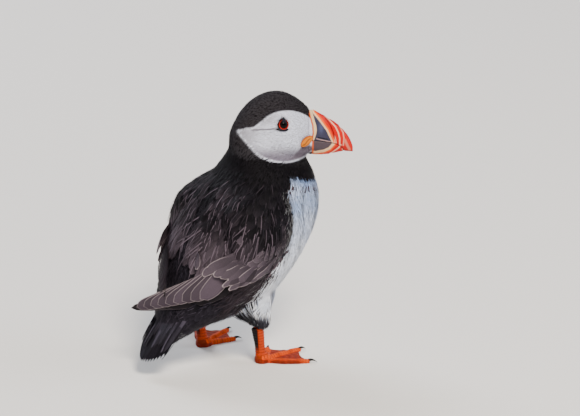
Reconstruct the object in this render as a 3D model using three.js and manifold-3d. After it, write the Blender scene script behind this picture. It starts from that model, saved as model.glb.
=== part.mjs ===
// An Atlantic puffin standing on both feet, life size, in millimetres.
// +X is the way the trunk faces, +Y the bird's left, +Z up, and the soles rest on z = 0.
// The head is turned to the bird's right, and the tip of the left wing lies over that of the right.
import * as THREE from "three";
import { mergeVertices } from "three/addons/utils/BufferGeometryUtils.js";
import Module from "manifold-3d";

const wasm = await Module();
wasm.setup();

// ---------------------------------------------------------------- driving dimensions

const GAP = 0.3; // left between pieces that touch
const HEAD_CENTRE = new THREE.Vector3(25, 0, 180);
const HEAD_TURN = THREE.MathUtils.degToRad(-35);
const EYE_PLACE = { x: 13.3, z: 7.9 }; // in the head's own frame
const EYE_RADIUS = 4.6;
const EYE_OPENING = 3.3; // radius of the part that shows
const RING_RADIUS = 4.2; // outer edge of the red ring round the eye
const PLATE_THICKNESS = 1.6; // horny plates above and below the eye
const MOUTH_BEND = { x: 51.8, z: -11.4 }; // where the line of the mouth turns down
const BLADE_THICKNESS = 2.2; // a quill feather, at its thickest
const TARSUS_TOP = 29;
const TARSUS_LEAN = 7; // it goes back by one part in this many of its rise
const HUB = { across: 7.2, height: 5.4 }; // the joint that the toes spring from
const TOE = { rootWidth: 4.4, knuckle: 5.2, tipWidth: 3.2, height: 4.2, bend: 2.5 };
const WEB = { low: 0.6, thickness: 1.1, dip: 2.5 };
const CLAW = { length: 6.5, radius: 1.5, drop: 1.2 };

// Stations of the body from the rump to the throat: where each section meets the line of the back
// and the line of the breast and belly, and half its width.
const BODY_STATIONS = [
  { backX: -76, backZ: 32, breastX: -69, breastZ: 22, half: 10 },
  { backX: -68, backZ: 62, breastX: -46, breastZ: 33, half: 26 },
  { backX: -56, backZ: 90, breastX: -19, breastZ: 36.5, half: 38 },
  { backX: -42.5, backZ: 115, breastX: 10, breastZ: 46, half: 46 },
  { backX: -32, backZ: 132, breastX: 33.5, breastZ: 69, half: 50 },
  { backX: -23, backZ: 141.5, breastX: 53, breastZ: 92, half: 46.5 },
  { backX: -14, backZ: 148.5, breastX: 64, breastZ: 117, half: 40 },
  { backX: -9, backZ: 156, breastX: 61.5, breastZ: 139, half: 35 },
  { backX: -7, backZ: 162, breastX: 55.5, breastZ: 155, half: 27 },
  { backX: -2, backZ: 172, breastX: 46, breastZ: 168, half: 19 },
];
const BODY_POWER = 0.92; // under 1 makes a section fuller than an ellipse

// Stations of the head from nape to bill, in its own frame: top, bottom, half width, and the height
// at which it is widest.
const HEAD_STATIONS = [
  { x: -29.5, top: -5, bottom: -28, half: 10, wide: -16 },
  { x: -25.5, top: 4.5, bottom: -30, half: 15.5, wide: -11 },
  { x: -19, top: 15.4, bottom: -33, half: 19.5, wide: -9 },
  { x: -11, top: 23, bottom: -34, half: 21.5, wide: -8 },
  { x: -1, top: 28.3, bottom: -34, half: 22.3, wide: -8 },
  { x: 9, top: 29.4, bottom: -33, half: 22, wide: -8.5 },
  { x: 17, top: 27.3, bottom: -30.5, half: 20, wide: -9 },
  { x: 23.5, top: 23.6, bottom: -27.5, half: 16.8, wide: -9.5 },
  { x: 28.5, top: 19.6, bottom: -24, half: 13, wide: -10 },
  { x: 33, top: 15.4, bottom: -20.5, half: 8.8, wide: -10 },
];
const HEAD_POWER = 0.94;

// Stations of the bill along the head's frame: ridge, underside and half width.
const BILL_STATIONS = [
  { x: 29.5, top: 17, bottom: -20.6, half: 8.6 },
  { x: 34.5, top: 15.2, bottom: -21.6, half: 8 },
  { x: 41, top: 11.4, bottom: -22.2, half: 6.8 },
  { x: 48, top: 7.4, bottom: -21.6, half: 5.6 },
  { x: 54, top: 3.4, bottom: -20.4, half: 4.6 },
  { x: 59, top: -1.8, bottom: -19.4, half: 3.7 },
  { x: 63, top: -6.8, bottom: -19.4, half: 2.9 },
  { x: 65.6, top: -12, bottom: -19.6, half: 2.1 },
  { x: 67.1, top: -17.4, bottom: -19.6, half: 1 },
];
const BILL_POWER = 1.08;

// ---------------------------------------------------------------- shapes and joins

const vec = (x, y, z) => new THREE.Vector3(x, y, z);
const signedPower = (value, power) => Math.sign(value) * Math.abs(value) ** power;
const circle = (count) => Array.from({ length: count }, (_, i) => (2 * Math.PI * i) / count);
const steps = (count) => Array.from({ length: count + 1 }, (_, i) => i / count);

// A closed tube through rings of points, with a fan over each end. Seen along the tube, each ring
// runs anticlockwise round its far end.
function loft(rings) {
  const sides = rings[0].length;
  const points = rings.flat();
  const index = [];
  const at = (ring, side) => ring * sides + (side % sides);
  for (let ring = 0; ring < rings.length - 1; ring++)
    for (let side = 0; side < sides; side++) {
      index.push(at(ring, side), at(ring, side + 1), at(ring + 1, side + 1));
      index.push(at(ring, side), at(ring + 1, side + 1), at(ring + 1, side));
    }
  const middle = (ring) => ring.reduce((sum, p) => sum.add(p), vec(0, 0, 0)).divideScalar(sides);
  points.push(middle(rings[0]), middle(rings.at(-1)));
  const last = rings.length - 1;
  for (let side = 0; side < sides; side++) {
    index.push(points.length - 2, at(0, side + 1), at(0, side));
    index.push(points.length - 1, at(last, side), at(last, side + 1));
  }
  const geometry = new THREE.BufferGeometry().setFromPoints(points);
  geometry.setIndex(index);
  return geometry;
}

// A three.js geometry as a manifold-3d solid, with its faces turned outward.
function solid(geometry) {
  const bare = geometry.clone();
  bare.deleteAttribute("normal");
  bare.deleteAttribute("uv");
  const merged = mergeVertices(bare, 1e-4);
  const corners = merged.attributes.position.array;
  const build = (order) => {
    const triVerts = new Uint32Array(order);
    return new wasm.Manifold(new wasm.Mesh({ numProp: 3, vertProperties: corners, triVerts }));
  };
  const made = build(merged.index.array);
  return made.volume() > 0 ? made : build(merged.index.array.toReversed());
}

// The largest of the bodies that a cut leaves.
const largestBody = (made) => made.decompose().sort((a, b) => b.volume() - a.volume())[0];

// A solid back as a geometry that three.js can show.
function geometryOf(made) {
  const { vertProperties, triVerts } = made.getMesh();
  const geometry = new THREE.BufferGeometry();
  geometry.setAttribute("position", new THREE.BufferAttribute(vertProperties, 3));
  geometry.setIndex(new THREE.BufferAttribute(triVerts, 1));
  geometry.computeVertexNormals();
  return geometry;
}

// Stations read as one smooth curve for each of their values; t runs from 0 to 1.
function smoothStations(stations) {
  const names = Object.keys(stations[0]);
  const pairs = names.map((name) => {
    const points = stations.map((station, i) => vec(i, station[name], 0));
    return [name, new THREE.CatmullRomCurve3(points, false, "centripetal")];
  });
  return (t) => Object.fromEntries(pairs.map(([name, curve]) => [name, curve.getPoint(t).y]));
}

// A section across X: half width, top and bottom from a widest height, with rounded corners.
function sectionAcrossX(s, power, sides) {
  return circle(sides).map((turn) => {
    const rise = signedPower(Math.sin(turn), power);
    const reach = rise > 0 ? s.top - s.wide : s.wide - s.bottom;
    return vec(s.x, s.half * signedPower(Math.cos(turn), power), s.wide + reach * rise);
  });
}

// A prism across Y from an outline of [x, z] corners.
function sidePrism(corners, halfWidth = 70) {
  const shape = new THREE.Shape(corners.map(([x, z]) => new THREE.Vector2(x, z)));
  const geometry = new THREE.ExtrudeGeometry(shape, { depth: 2 * halfWidth, bevelEnabled: false });
  geometry.rotateX(Math.PI / 2);
  geometry.translate(0, halfWidth, 0);
  return solid(geometry);
}

// Everything above a line of [x, z] corners that runs forward, raised by some millimetres.
function abovePrism(line, raise) {
  const edge = line.map(([x, z]) => [x, z + raise]);
  return sidePrism([...edge, [line.at(-1)[0], 90], [line[0][0], 90]]);
}

// ---------------------------------------------------------------- body, neck and head

const bodyAt = smoothStations(BODY_STATIONS);
const BODY_RINGS = 16;
const BODY_SIDES = 24;

// A point on the body's surface: t along it, turn round it (0 on the left, a quarter on the back),
// lifted off it by some millimetres.
function bodyPoint(t, turn, lift = 0) {
  const s = bodyAt(t);
  const back = vec(s.backX, 0, s.backZ);
  const breast = vec(s.breastX, 0, s.breastZ);
  const middle = back.clone().lerp(breast, 0.5);
  const reach = back.distanceTo(breast) / 2 + lift;
  const toBack = back.sub(breast).normalize();
  return middle
    .addScaledVector(vec(0, 1, 0), (s.half + lift) * signedPower(Math.cos(turn), BODY_POWER))
    .addScaledVector(toBack, reach * signedPower(Math.sin(turn), BODY_POWER));
}

function bodyGeometry(lift = 0) {
  return loft(steps(BODY_RINGS).map((t) => circle(BODY_SIDES).map((turn) => bodyPoint(t, turn, lift))));
}

const headAt = smoothStations(HEAD_STATIONS);
const HEAD_RINGS = 11;
const HEAD_SIDES = 18;
const headGeometry = loft(
  steps(HEAD_RINGS).map((t) => sectionAcrossX(headAt(t), HEAD_POWER, HEAD_SIDES)),
);

const headPlace = new THREE.Matrix4().makeRotationZ(HEAD_TURN).setPosition(HEAD_CENTRE);
const bodyClear = solid(bodyGeometry(GAP));
const neckInHead = solid(bodyGeometry().applyMatrix4(headPlace.clone().invert()));
const headAndNeck = solid(headGeometry).add(neckInHead);

// The head is parted from the neck along a line in its side view, under the cheek and up the nape.
const HEAD_LINE = [[-60, 0], [-34, -11], [-12, -20], [6, -25], [18, -26], [30, -23], [60, -21]];
const aboveHeadLine = (raise) => abovePrism(HEAD_LINE, raise);
const headRaw = headAndNeck.intersect(aboveHeadLine(GAP / 2));

// The foot of the black collar, a plane that rises toward the back.
const COLLAR = { x: 30, z: 146.5, tilt: THREE.MathUtils.degToRad(17) };
const collarNormal = vec(Math.sin(COLLAR.tilt), 0, Math.cos(COLLAR.tilt));
const collarOffset = collarNormal.dot(vec(COLLAR.x, 0, COLLAR.z));
const underHead = headAndNeck.subtract(aboveHeadLine(-GAP / 2)).transform(headPlace.toArray());
const neck = underHead.trimByPlane(collarNormal.toArray(), collarOffset + GAP / 2);
const trunk = underHead.trimByPlane(collarNormal.clone().negate().toArray(), -collarOffset + GAP / 2);

// How far out the side of the head is at a place in its side view.
function headSide(x, z) {
  let low = 0;
  let high = 1;
  for (let i = 0; i < 40; i++) {
    const middle = (low + high) / 2;
    if (headAt(middle).x < x) low = middle;
    else high = middle;
  }
  const s = headAt(low);
  const reach = z > s.wide ? s.top - s.wide : s.wide - s.bottom;
  const rise = Math.min(Math.abs(z - s.wide) / reach, 1) ** (1 / HEAD_POWER);
  return s.half * Math.sqrt(1 - rise * rise) ** HEAD_POWER;
}

// The frame of a piece set on the side of the head: its X points forward, its Y up and its Z out, so
// that the left side is the mirror of the right.
function sideFrame(x, z, side, sink = 0) {
  const slopeX = headSide(x + 1, z) - headSide(x - 1, z);
  const slopeZ = headSide(x, z + 1) - headSide(x, z - 1);
  const out = vec(-slopeX / 2, side, -slopeZ / 2).normalize();
  const forward = vec(1, 0, 0).addScaledVector(out, -out.x).normalize();
  const up = out.clone().cross(forward).multiplyScalar(-side);
  const matrix = new THREE.Matrix4().makeBasis(forward, up, out);
  const centre = vec(x, side * headSide(x, z), z).addScaledVector(out, -sink);
  return matrix.setPosition(centre);
}

// ---------------------------------------------------------------- eyes

const eyeSink = Math.sqrt(EYE_RADIUS ** 2 - EYE_OPENING ** 2);

function eyeBall(side, grow = 0) {
  const ball = new THREE.SphereGeometry(EYE_RADIUS + grow, 12, 8).rotateX(Math.PI / 2);
  return solid(ball.applyMatrix4(sideFrame(EYE_PLACE.x, EYE_PLACE.z, side, eyeSink)));
}

// The ring is a low band round the eye, from just under the skin to just over it.
function eyeRing(side, grow = 0) {
  const inner = EYE_OPENING - 0.4;
  const outer = RING_RADIUS + grow;
  const profile = [
    [inner, -1.4 - grow],
    [outer, -1.4 - grow],
    [outer, 0.4],
    [inner, 0.8],
    [inner, -1.4 - grow],
  ].map(([radius, height]) => new THREE.Vector2(radius, height));
  const band = new THREE.LatheGeometry(profile, 10).rotateX(Math.PI / 2);
  return solid(band.applyMatrix4(sideFrame(EYE_PLACE.x, EYE_PLACE.z, side)));
}

// The small horny plates that point up from the eye and lie along under it.
const EYE_PLATES = {
  upper: { x: 13.2, z: 11.6, corners: [[-2.4, -0.4], [2.4, -0.4], [0, 2.7]] },
  lower: { x: 12.3, z: 3.6, corners: [[-4.8, 0.4], [-3.6, -0.8], [4.2, -0.8], [4.6, 0.6]] },
};

function eyePlate(side, name, grow = 0) {
  const { x, z, corners } = EYE_PLATES[name];
  const shape = new THREE.Shape(
    corners.map(([a, b]) => new THREE.Vector2(a + grow * Math.sign(a), b + grow * Math.sign(b))),
  );
  const depth = PLATE_THICKNESS + 2 * grow;
  const plate = new THREE.ExtrudeGeometry(shape, { depth, bevelEnabled: false });
  plate.translate(0, 0, -depth / 2);
  return solid(plate.applyMatrix4(sideFrame(x, z, side)));
}

// ---------------------------------------------------------------- bill

const billAt = smoothStations(BILL_STATIONS);
const bill = solid(
  loft(
    steps(11).map((t) => {
      const s = billAt(t);
      const wide = Math.min(-10, (s.top + s.bottom) / 2);
      return sectionAcrossX({ ...s, wide }, BILL_POWER, 14);
    }),
  ),
);

// Outlines in side view, each a line from top to bottom (or back to front) across the bill.
const BILL_LINES = {
  face: [[33.2, 30], [33.2, 14], [34.6, 4], [35.2, -6], [34.4, -14], [33.6, -30]],
  cere: [[34, 30], [35.6, 13], [37.6, 4], [38.8, -4], [37.8, -9], [36.6, -14], [36.2, -30]],
  band: [[32, 30], [36.2, 13.4], [40.6, 8], [45, 1], [48.4, -5], [50.4, -11], [49, -16], [45, -23], [42, -30]],
  mouth: [[20, -8.6], [36, -9.2], [MOUTH_BEND.x, MOUTH_BEND.z], [55.6, -14.6], [59, -17.4], [61, -24], [90, -24]],
};

// Everything in front of a line that runs from top to bottom, moved forward by some millimetres.
function inFrontOf(line, move) {
  const edge = line.map(([x, z]) => [x + move, z]);
  return sidePrism([...edge, [90, edge.at(-1)[1]], [90, edge[0][1]]]);
}

const slant = GAP / Math.SQRT2; // half a gap, on a line that leans by 45 degrees
const billFront = bill.intersect(inFrontOf(BILL_LINES.face, 0));
const upperBill = billFront.intersect(abovePrism(BILL_LINES.mouth, GAP / 2));
const lowerBill = billFront.subtract(abovePrism(BILL_LINES.mouth, -GAP / 2));
const billPieces = {
  bill_base_ridge: upperBill.subtract(inFrontOf(BILL_LINES.cere, -slant)),
  bill_upper_plate: upperBill
    .intersect(inFrontOf(BILL_LINES.cere, slant))
    .subtract(inFrontOf(BILL_LINES.band, -slant)),
  bill_upper_tip: upperBill.intersect(inFrontOf(BILL_LINES.band, slant)),
  bill_lower_plate: lowerBill.subtract(inFrontOf(BILL_LINES.band, -slant)),
  bill_lower_tip: lowerBill.intersect(inFrontOf(BILL_LINES.band, slant)),
};

// The fleshy rosette in the corner of the mouth, a leaf that points up and forward.
const ROSETTE = { x: 31.8, z: -8, length: 11.6, height: 5.6, thickness: 4.4, lean: 0.66 };

function rosette(side, grow = 0) {
  const leaf = new THREE.SphereGeometry(1, 12, 6).scale(
    ROSETTE.length / 2 + grow,
    ROSETTE.height / 2 + grow,
    ROSETTE.thickness / 2 + grow,
  );
  leaf.rotateZ(ROSETTE.lean);
  return solid(leaf.applyMatrix4(sideFrame(ROSETTE.x - 2, ROSETTE.z, side, 0.2)));
}

// ---------------------------------------------------------------- wings and tail

// A quill feather as a thin blade: a flat oval section drawn from root to tip along a gentle bow,
// full for most of its length and rounded off at its end.
function blade({ root, tip, width, face, bow = 0, thickness = BLADE_THICKNESS, grow = 0 }) {
  const middle = root.clone().lerp(tip, 0.5).addScaledVector(face, bow);
  const path = new THREE.QuadraticBezierCurve3(root, middle, tip);
  const rings = [0, 0.6, 0.86, 0.98].map((t) => {
    const along = path.getTangent(t);
    const across = along.clone().cross(face).normalize();
    const up = across.clone().cross(along).normalize();
    const rounding = Math.sqrt(1 - Math.max((t - 0.62) / 0.38, 0) ** 2.6);
    const halfWidth = (width / 2) * rounding + grow;
    const halfThickness = (thickness / 2) * (1 - 0.45 * t) + grow;
    return circle(6).map((turn) =>
      path
        .getPoint(t)
        .addScaledVector(across, halfWidth * Math.cos(turn))
        .addScaledVector(up, halfThickness * Math.sin(turn)),
    );
  });
  return solid(loft(rings));
}

// The part of the wing that lies on the body: a pillow between its lower and upper edge, both given
// as turns round the body.
const ARM_STATIONS = [
  { t: 0.68, lower: 168, upper: 146, thick: 1.2 },
  { t: 0.61, lower: 178, upper: 130, thick: 2.4 },
  { t: 0.52, lower: 185, upper: 116, thick: 4.6 },
  { t: 0.42, lower: 187, upper: 112, thick: 8 },
  { t: 0.3, lower: 188, upper: 114, thick: 7.5 },
  { t: 0.2, lower: 182, upper: 122, thick: 4 },
  { t: 0.15, lower: 170, upper: 136, thick: 2 },
];

function armPillow(side, grow = 0) {
  const armAt = smoothStations(ARM_STATIONS);
  const spread = steps(7);
  const rings = steps(10).map((u) => {
    const s = armAt(u);
    const turnAt = (v) => {
      const turn = THREE.MathUtils.degToRad(THREE.MathUtils.lerp(s.lower, s.upper, v));
      return side < 0 ? turn : Math.PI - turn;
    };
    const outer = spread.map((v) => {
      const lift = 0.6 + s.thick * Math.sin(Math.PI * v) ** 0.55 + grow;
      return bodyPoint(s.t, turnAt(v), lift);
    });
    const inner = spread.slice(1, -1).toReversed().map((v) => bodyPoint(s.t, turnAt(v), -3));
    return [...outer, ...inner];
  });
  return solid(loft(rings));
}

// The hand of each wing, a thin plate of quills between its lower (leading) and upper (trailing)
// edge. The left one crosses over the upper edge of the right one.
const HANDS = {
  right: {
    side: -1,
    lower: [[-12, -46, 74], [-41, -39, 61], [-64, -21, 55], [-81, -2, 51], [-94, 15, 49]],
    upper: [[-30, -38, 100], [-50, -33, 88], [-66, -20, 76], [-81, -3, 63], [-94, 15, 52]],
  },
  left: {
    side: 1,
    lower: [[-12, 46, 74], [-42, 41, 66], [-64, 20, 65], [-77, 3, 67], [-81, -10, 64]],
    upper: [[-30, 38, 102], [-52, 28, 95], [-66, 11, 90], [-75, -6, 82], [-82, -14, 66]],
  },
};
const HAND_THICKNESS = 3.4;
const QUILL = { tips: [0.44, 0.57, 0.7, 0.85], reach: 0.34, width: 11, proud: 0.9 };

function handCurves({ lower, upper }) {
  const curve = (points) => new THREE.CatmullRomCurve3(points.map((p) => vec(...p)), false, "centripetal");
  const [low, high] = [curve(lower), curve(upper)];
  return (u, v) => low.getPoint(u).lerp(high.getPoint(u), v);
}

// The way the plate faces, away from the body.
function handFace(at, u, side) {
  const along = at(Math.min(u + 0.02, 1), 0.5).sub(at(u - 0.02, 0.5));
  const up = at(u, 1).sub(at(u, 0));
  return up.cross(along).normalize().multiplyScalar(side);
}

function hand(shape, grow = 0) {
  const at = handCurves(shape);
  const rings = [0.02, 0.2, 0.4, 0.6, 0.78, 0.91, 0.985].map((u) => {
    const face = handFace(at, u, shape.side);
    const across = at(u, 1).sub(at(u, 0)).normalize();
    const half = (HAND_THICKNESS / 2) * (1 - 0.5 * u) + grow;
    const round = circle(8).map((turn) => {
      const v = 0.5 - 0.5 * Math.cos(turn);
      const edge = -grow * Math.cos(turn);
      return at(u, v).addScaledVector(across, edge).addScaledVector(face, half * Math.sin(turn));
    });
    return shape.side < 0 ? round : round.toReversed();
  });
  let plate = solid(loft(rings));
  for (const u of QUILL.tips) {
    const face = handFace(at, u, shape.side);
    const lift = face.clone().multiplyScalar(QUILL.proud);
    const root = at(u - QUILL.reach, 0.45).add(lift);
    const tip = at(u, 1).add(lift);
    plate = plate.add(blade({ root, tip, width: QUILL.width, face, bow: 1, grow }));
  }
  return plate;
}

const wing = (shape, grow = 0) => armPillow(shape.side, grow).add(hand(shape, grow)).subtract(bodyClear);
const rightWing = wing(HANDS.right);
const leftWing = wing(HANDS.left).subtract(wing(HANDS.right, GAP));

// Each wing is parted where the coverts end and again past the ends of the inner quills.
const WING_CUTS = [-34, -62];
const backward = [-1, 0, 0];
const forward = [1, 0, 0];

function wingPieces(name, whole) {
  const [coverts, inner] = WING_CUTS;
  return {
    [`wing_${name}_arm`]: whole.trimByPlane(forward, coverts + GAP / 2),
    [`wing_${name}_secondaries`]: whole
      .trimByPlane(backward, -coverts + GAP / 2)
      .trimByPlane(forward, inner + GAP / 2),
    [`wing_${name}_primaries`]: largestBody(whole.trimByPlane(backward, -inner + GAP / 2)),
  };
}

// The tail: quills fanned from under the rump, over a wedge of coverts.
const TAIL = {
  feathers: 7,
  root: { x: -53, y: -1, z: 56, spread: 15 },
  tip: { x: -95, y: -5, z: 12, spread: 16 },
  width: 12,
  shorter: 12,
};

function tailFan() {
  const root = vec(TAIL.root.x, TAIL.root.y, TAIL.root.z);
  const tip = vec(TAIL.tip.x, TAIL.tip.y, TAIL.tip.z);
  const along = tip.clone().sub(root).normalize();
  const face = along.clone().cross(vec(0, 1, 0)).normalize();
  let whole = null;
  for (let i = 0; i < TAIL.feathers; i++) {
    const off = (2 * i) / (TAIL.feathers - 1) - 1;
    const quill = blade({
      root: root.clone().add(vec(0, off * TAIL.root.spread, 0)),
      tip: tip
        .clone()
        .add(vec(0, off * TAIL.tip.spread, 0))
        .addScaledVector(along, -TAIL.shorter * off * off),
      width: TAIL.width,
      face,
      bow: 3,
      thickness: 5,
    });
    whole = whole ? whole.add(quill) : quill;
  }
  return whole.subtract(bodyClear);
}

// ---------------------------------------------------------------- legs and feet

const FEET = {
  right: { side: -1, heel: vec(0, -29, 0), knee: vec(-6, -23, 58), toes: { outer: -38, middle: 6, inner: 46 } },
  left: { side: 1, heel: vec(-16, 29, 0), knee: vec(-18, 23, 58), toes: { outer: 62, middle: 26, inner: -8 } },
};
const TOE_LENGTHS = { outer: 37, middle: 39, inner: 28 };

// A limb of round sections drawn through stations of place, fore-and-aft radius and side radius.
function limb(stations, sides) {
  const rings = stations.map(({ at, deep, broad }) =>
    circle(sides).map((turn) => at.clone().add(vec(deep * Math.cos(turn), broad * Math.sin(turn), 0))),
  );
  return solid(loft(rings));
}

function thigh({ heel, knee }) {
  const foot = heel.clone().add(vec(-TARSUS_TOP / TARSUS_LEAN, 0, TARSUS_TOP + GAP));
  return limb(
    [0, 0.35, 0.7, 1].map((t) => {
      const at = foot.clone().lerp(knee, t);
      return { at, deep: 5.5 + 9 * Math.sqrt(t), broad: 5.5 + 9 * Math.sqrt(t) };
    }),
    16,
  ).subtract(bodyClear);
}

function hub(heel, grow = 0) {
  const pad = new THREE.SphereGeometry(1, 10, 5).rotateX(Math.PI / 2);
  pad.scale(HUB.across + grow, HUB.across * 0.86 + grow, HUB.height + grow);
  pad.translate(heel.x + 1, heel.y, 2.4);
  return solid(pad).trimByPlane([0, 0, 1], 0);
}

function tarsus({ heel }) {
  const shank = limb(
    [
      { z: 1.5, deep: 4.6, broad: 4 },
      { z: 7, deep: 4.4, broad: 3.6 },
      { z: 14, deep: 4, broad: 3.1 },
      { z: 22, deep: 4.7, broad: 3.5 },
      { z: TARSUS_TOP, deep: 5.2, broad: 4 },
    ].map(({ z, deep, broad }) => ({ at: heel.clone().add(vec(-z / TARSUS_LEAN, 0, z)), deep, broad })),
    10,
  );
  return shank.add(hub(heel));
}

function toeGeometry(length, bend, grow) {
  const stations = [
    { x: 3, width: TOE.rootWidth, height: TOE.height },
    { x: length * 0.3, width: TOE.rootWidth * 0.92, height: TOE.height * 0.86 },
    { x: length * 0.45, width: TOE.knuckle, height: TOE.height },
    { x: length * 0.62, width: TOE.rootWidth * 0.9, height: TOE.height * 0.8 },
    { x: length * 0.78, width: TOE.knuckle * 0.9, height: TOE.height * 0.9 },
    { x: length, width: TOE.tipWidth, height: TOE.height * 0.72 },
  ];
  return loft(
    stations.map(({ x, width, height }, i) => {
      const end = i === stations.length - 1 ? grow : 0;
      return circle(8).map((turn) => {
        const across = (width / 2 + grow) * Math.cos(turn);
        const up = height * 0.4 + (height * 0.6 + grow) * Math.sin(turn);
        return vec(x + end, across + bend * Math.sin((Math.PI * x) / length), up);
      });
    }),
  );
}

// A matrix that sets a piece built along +X at the heel, turned the way its toe points.
const toePlace = (heel, degrees) =>
  new THREE.Matrix4().makeRotationZ(THREE.MathUtils.degToRad(degrees)).setPosition(heel);

function toe({ heel, toes, side }, name, grow = 0) {
  const bend = name === "outer" ? side * TOE.bend : 0;
  const made = toeGeometry(TOE_LENGTHS[name], bend, grow).applyMatrix4(toePlace(heel, toes[name]));
  const rested = solid(made).trimByPlane([0, 0, 1], 0);
  return grow ? rested : rested.subtract(hub(heel, GAP));
}

function claw({ heel, toes }, name) {
  const start = TOE_LENGTHS[name] + GAP;
  const rings = [0, 0.33, 0.67, 1].map((t) => {
    const radius = CLAW.radius * (1 - 0.82 * t);
    const height = 1.9 + 1.1 * Math.sin(Math.PI * t) - CLAW.drop * t;
    return circle(6).map((turn) =>
      vec(start + CLAW.length * t, 0.75 * radius * Math.cos(turn), height + radius * Math.sin(turn)),
    );
  });
  return solid(loft(rings).applyMatrix4(toePlace(heel, toes[name])));
}

// The skin between the middle toe and one of its neighbours, its front edge drawn in a little.
function web(foot, neighbour) {
  const tipOf = (name) => {
    const turn = THREE.MathUtils.degToRad(foot.toes[name]);
    const reach = TOE_LENGTHS[name] - 1;
    return new THREE.Vector2(reach * Math.cos(turn), reach * Math.sin(turn));
  };
  const from = tipOf(neighbour);
  const to = tipOf("middle");
  const middle = from.clone().lerp(to, 0.5);
  middle.setLength(middle.length() - 2 * WEB.dip);
  const edge = new THREE.QuadraticBezierCurve(from, middle, to).getPoints(6);
  const shape = new THREE.Shape([new THREE.Vector2(0, 0), ...edge]);
  const sheet = new THREE.ExtrudeGeometry(shape, { depth: WEB.thickness, bevelEnabled: false });
  sheet.translate(foot.heel.x, foot.heel.y, WEB.low);
  return solid(sheet)
    .subtract(toe(foot, neighbour, GAP))
    .subtract(toe(foot, "middle", GAP))
    .subtract(hub(foot.heel, GAP));
}

// ---------------------------------------------------------------- the bird

const material = (color, roughness, metalness = 0) =>
  new THREE.MeshStandardMaterial({ color, roughness, metalness });
const finish = {
  black: material(0x17161a, 0.8),
  brown: material(0x3a3433, 0.75),
  face: material(0xd8d8da, 0.85),
  breast: material(0xe6e7ea, 0.85),
  leg: material(0xd8541c, 0.5),
  web: material(0xb8401a, 0.55),
  claw: material(0x1d1a18, 0.35),
  eye: material(0x140c08, 0.08),
  ring: material(0xb52a18, 0.5),
  slate: material(0x4a505e, 0.45),
  cream: material(0xe0c48c, 0.5),
  red: material(0xd2381c, 0.35),
  rosette: material(0xe89a2a, 0.6),
};

function mesh(name, made, look) {
  const piece = new THREE.Mesh(geometryOf(made), look);
  piece.name = name;
  return piece;
}

const bird = new THREE.Group();
const headGroup = new THREE.Group();
headGroup.position.copy(HEAD_CENTRE);
headGroup.rotation.z = HEAD_TURN;
bird.add(headGroup);

let headSolid = headRaw.subtract(inFrontOf(BILL_LINES.face, -GAP));
const billLooks = {
  bill_base_ridge: finish.cream,
  bill_upper_plate: finish.slate,
  bill_upper_tip: finish.red,
  bill_lower_plate: finish.slate,
  bill_lower_tip: finish.red,
};
for (const [name, side] of [["left", 1], ["right", -1]]) {
  const ball = eyeBall(side);
  const ring = eyeRing(side).subtract(eyeBall(side, GAP));
  headGroup.add(mesh(`eye_${name}`, ball, finish.eye));
  headGroup.add(mesh(`eye_ring_${name}`, ring, finish.ring));
  headSolid = headSolid.subtract(eyeBall(side, GAP)).subtract(eyeRing(side, GAP));
  for (const plate of Object.keys(EYE_PLATES)) {
    const made = eyePlate(side, plate).subtract(eyeRing(side, GAP)).subtract(eyeBall(side, GAP));
    headGroup.add(mesh(`eye_plate_${plate}_${name}`, made, finish.slate));
    headSolid = headSolid.subtract(eyePlate(side, plate, GAP));
  }
  headGroup.add(mesh(`rosette_${name}`, rosette(side), finish.rosette));
  headSolid = headSolid.subtract(rosette(side, GAP));
  for (const piece of Object.keys(billPieces))
    billPieces[piece] = billPieces[piece].subtract(rosette(side, GAP));
}
for (const [name, made] of Object.entries(billPieces))
  headGroup.add(mesh(name, made, billLooks[name]));
headGroup.add(mesh("head", headSolid, finish.face));

bird.add(mesh("neck", neck, finish.black));
bird.add(mesh("trunk", trunk, finish.breast));
bird.add(mesh("tail", tailFan(), finish.black));

for (const [name, whole] of [["right", rightWing], ["left", leftWing]])
  for (const [piece, made] of Object.entries(wingPieces(name, whole)))
    bird.add(mesh(piece, made, piece.endsWith("arm") ? finish.black : finish.brown));

for (const [name, foot] of Object.entries(FEET)) {
  bird.add(mesh(`thigh_${name}`, thigh(foot), finish.breast));
  bird.add(mesh(`tarsus_${name}`, tarsus(foot), finish.leg));
  for (const one of Object.keys(TOE_LENGTHS)) {
    bird.add(mesh(`toe_${one}_${name}`, toe(foot, one), finish.leg));
    bird.add(mesh(`claw_${one}_${name}`, claw(foot, one), finish.claw));
  }
  for (const neighbour of ["inner", "outer"])
    bird.add(mesh(`web_${neighbour}_${name}`, web(foot, neighbour), finish.web));
}

// The origin is on the floor, under the middle of the bird's box.
const box = new THREE.Box3().setFromObject(bird, true);
const middle = box.getCenter(vec(0, 0, 0));
bird.position.set(-middle.x, -middle.y, -box.min.z);

export default bird;
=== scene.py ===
# %% [markdown]
# # A standing Atlantic puffin
# A seabird is three kinds of surface: short velvety feathers on the head, soft ones on the body, and
# stiff quills on wings and tail. Round those come bare parts: a horny bill, wet eyes and scaly feet.
# Each is made from what it grows on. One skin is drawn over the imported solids, and every feather is a
# thin mesh rooted in that skin and laid the way the coat lies.

# %% Load the frame
import math

import bpy
import numpy as np
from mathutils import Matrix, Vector
from mathutils.bvhtree import BVHTree


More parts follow.
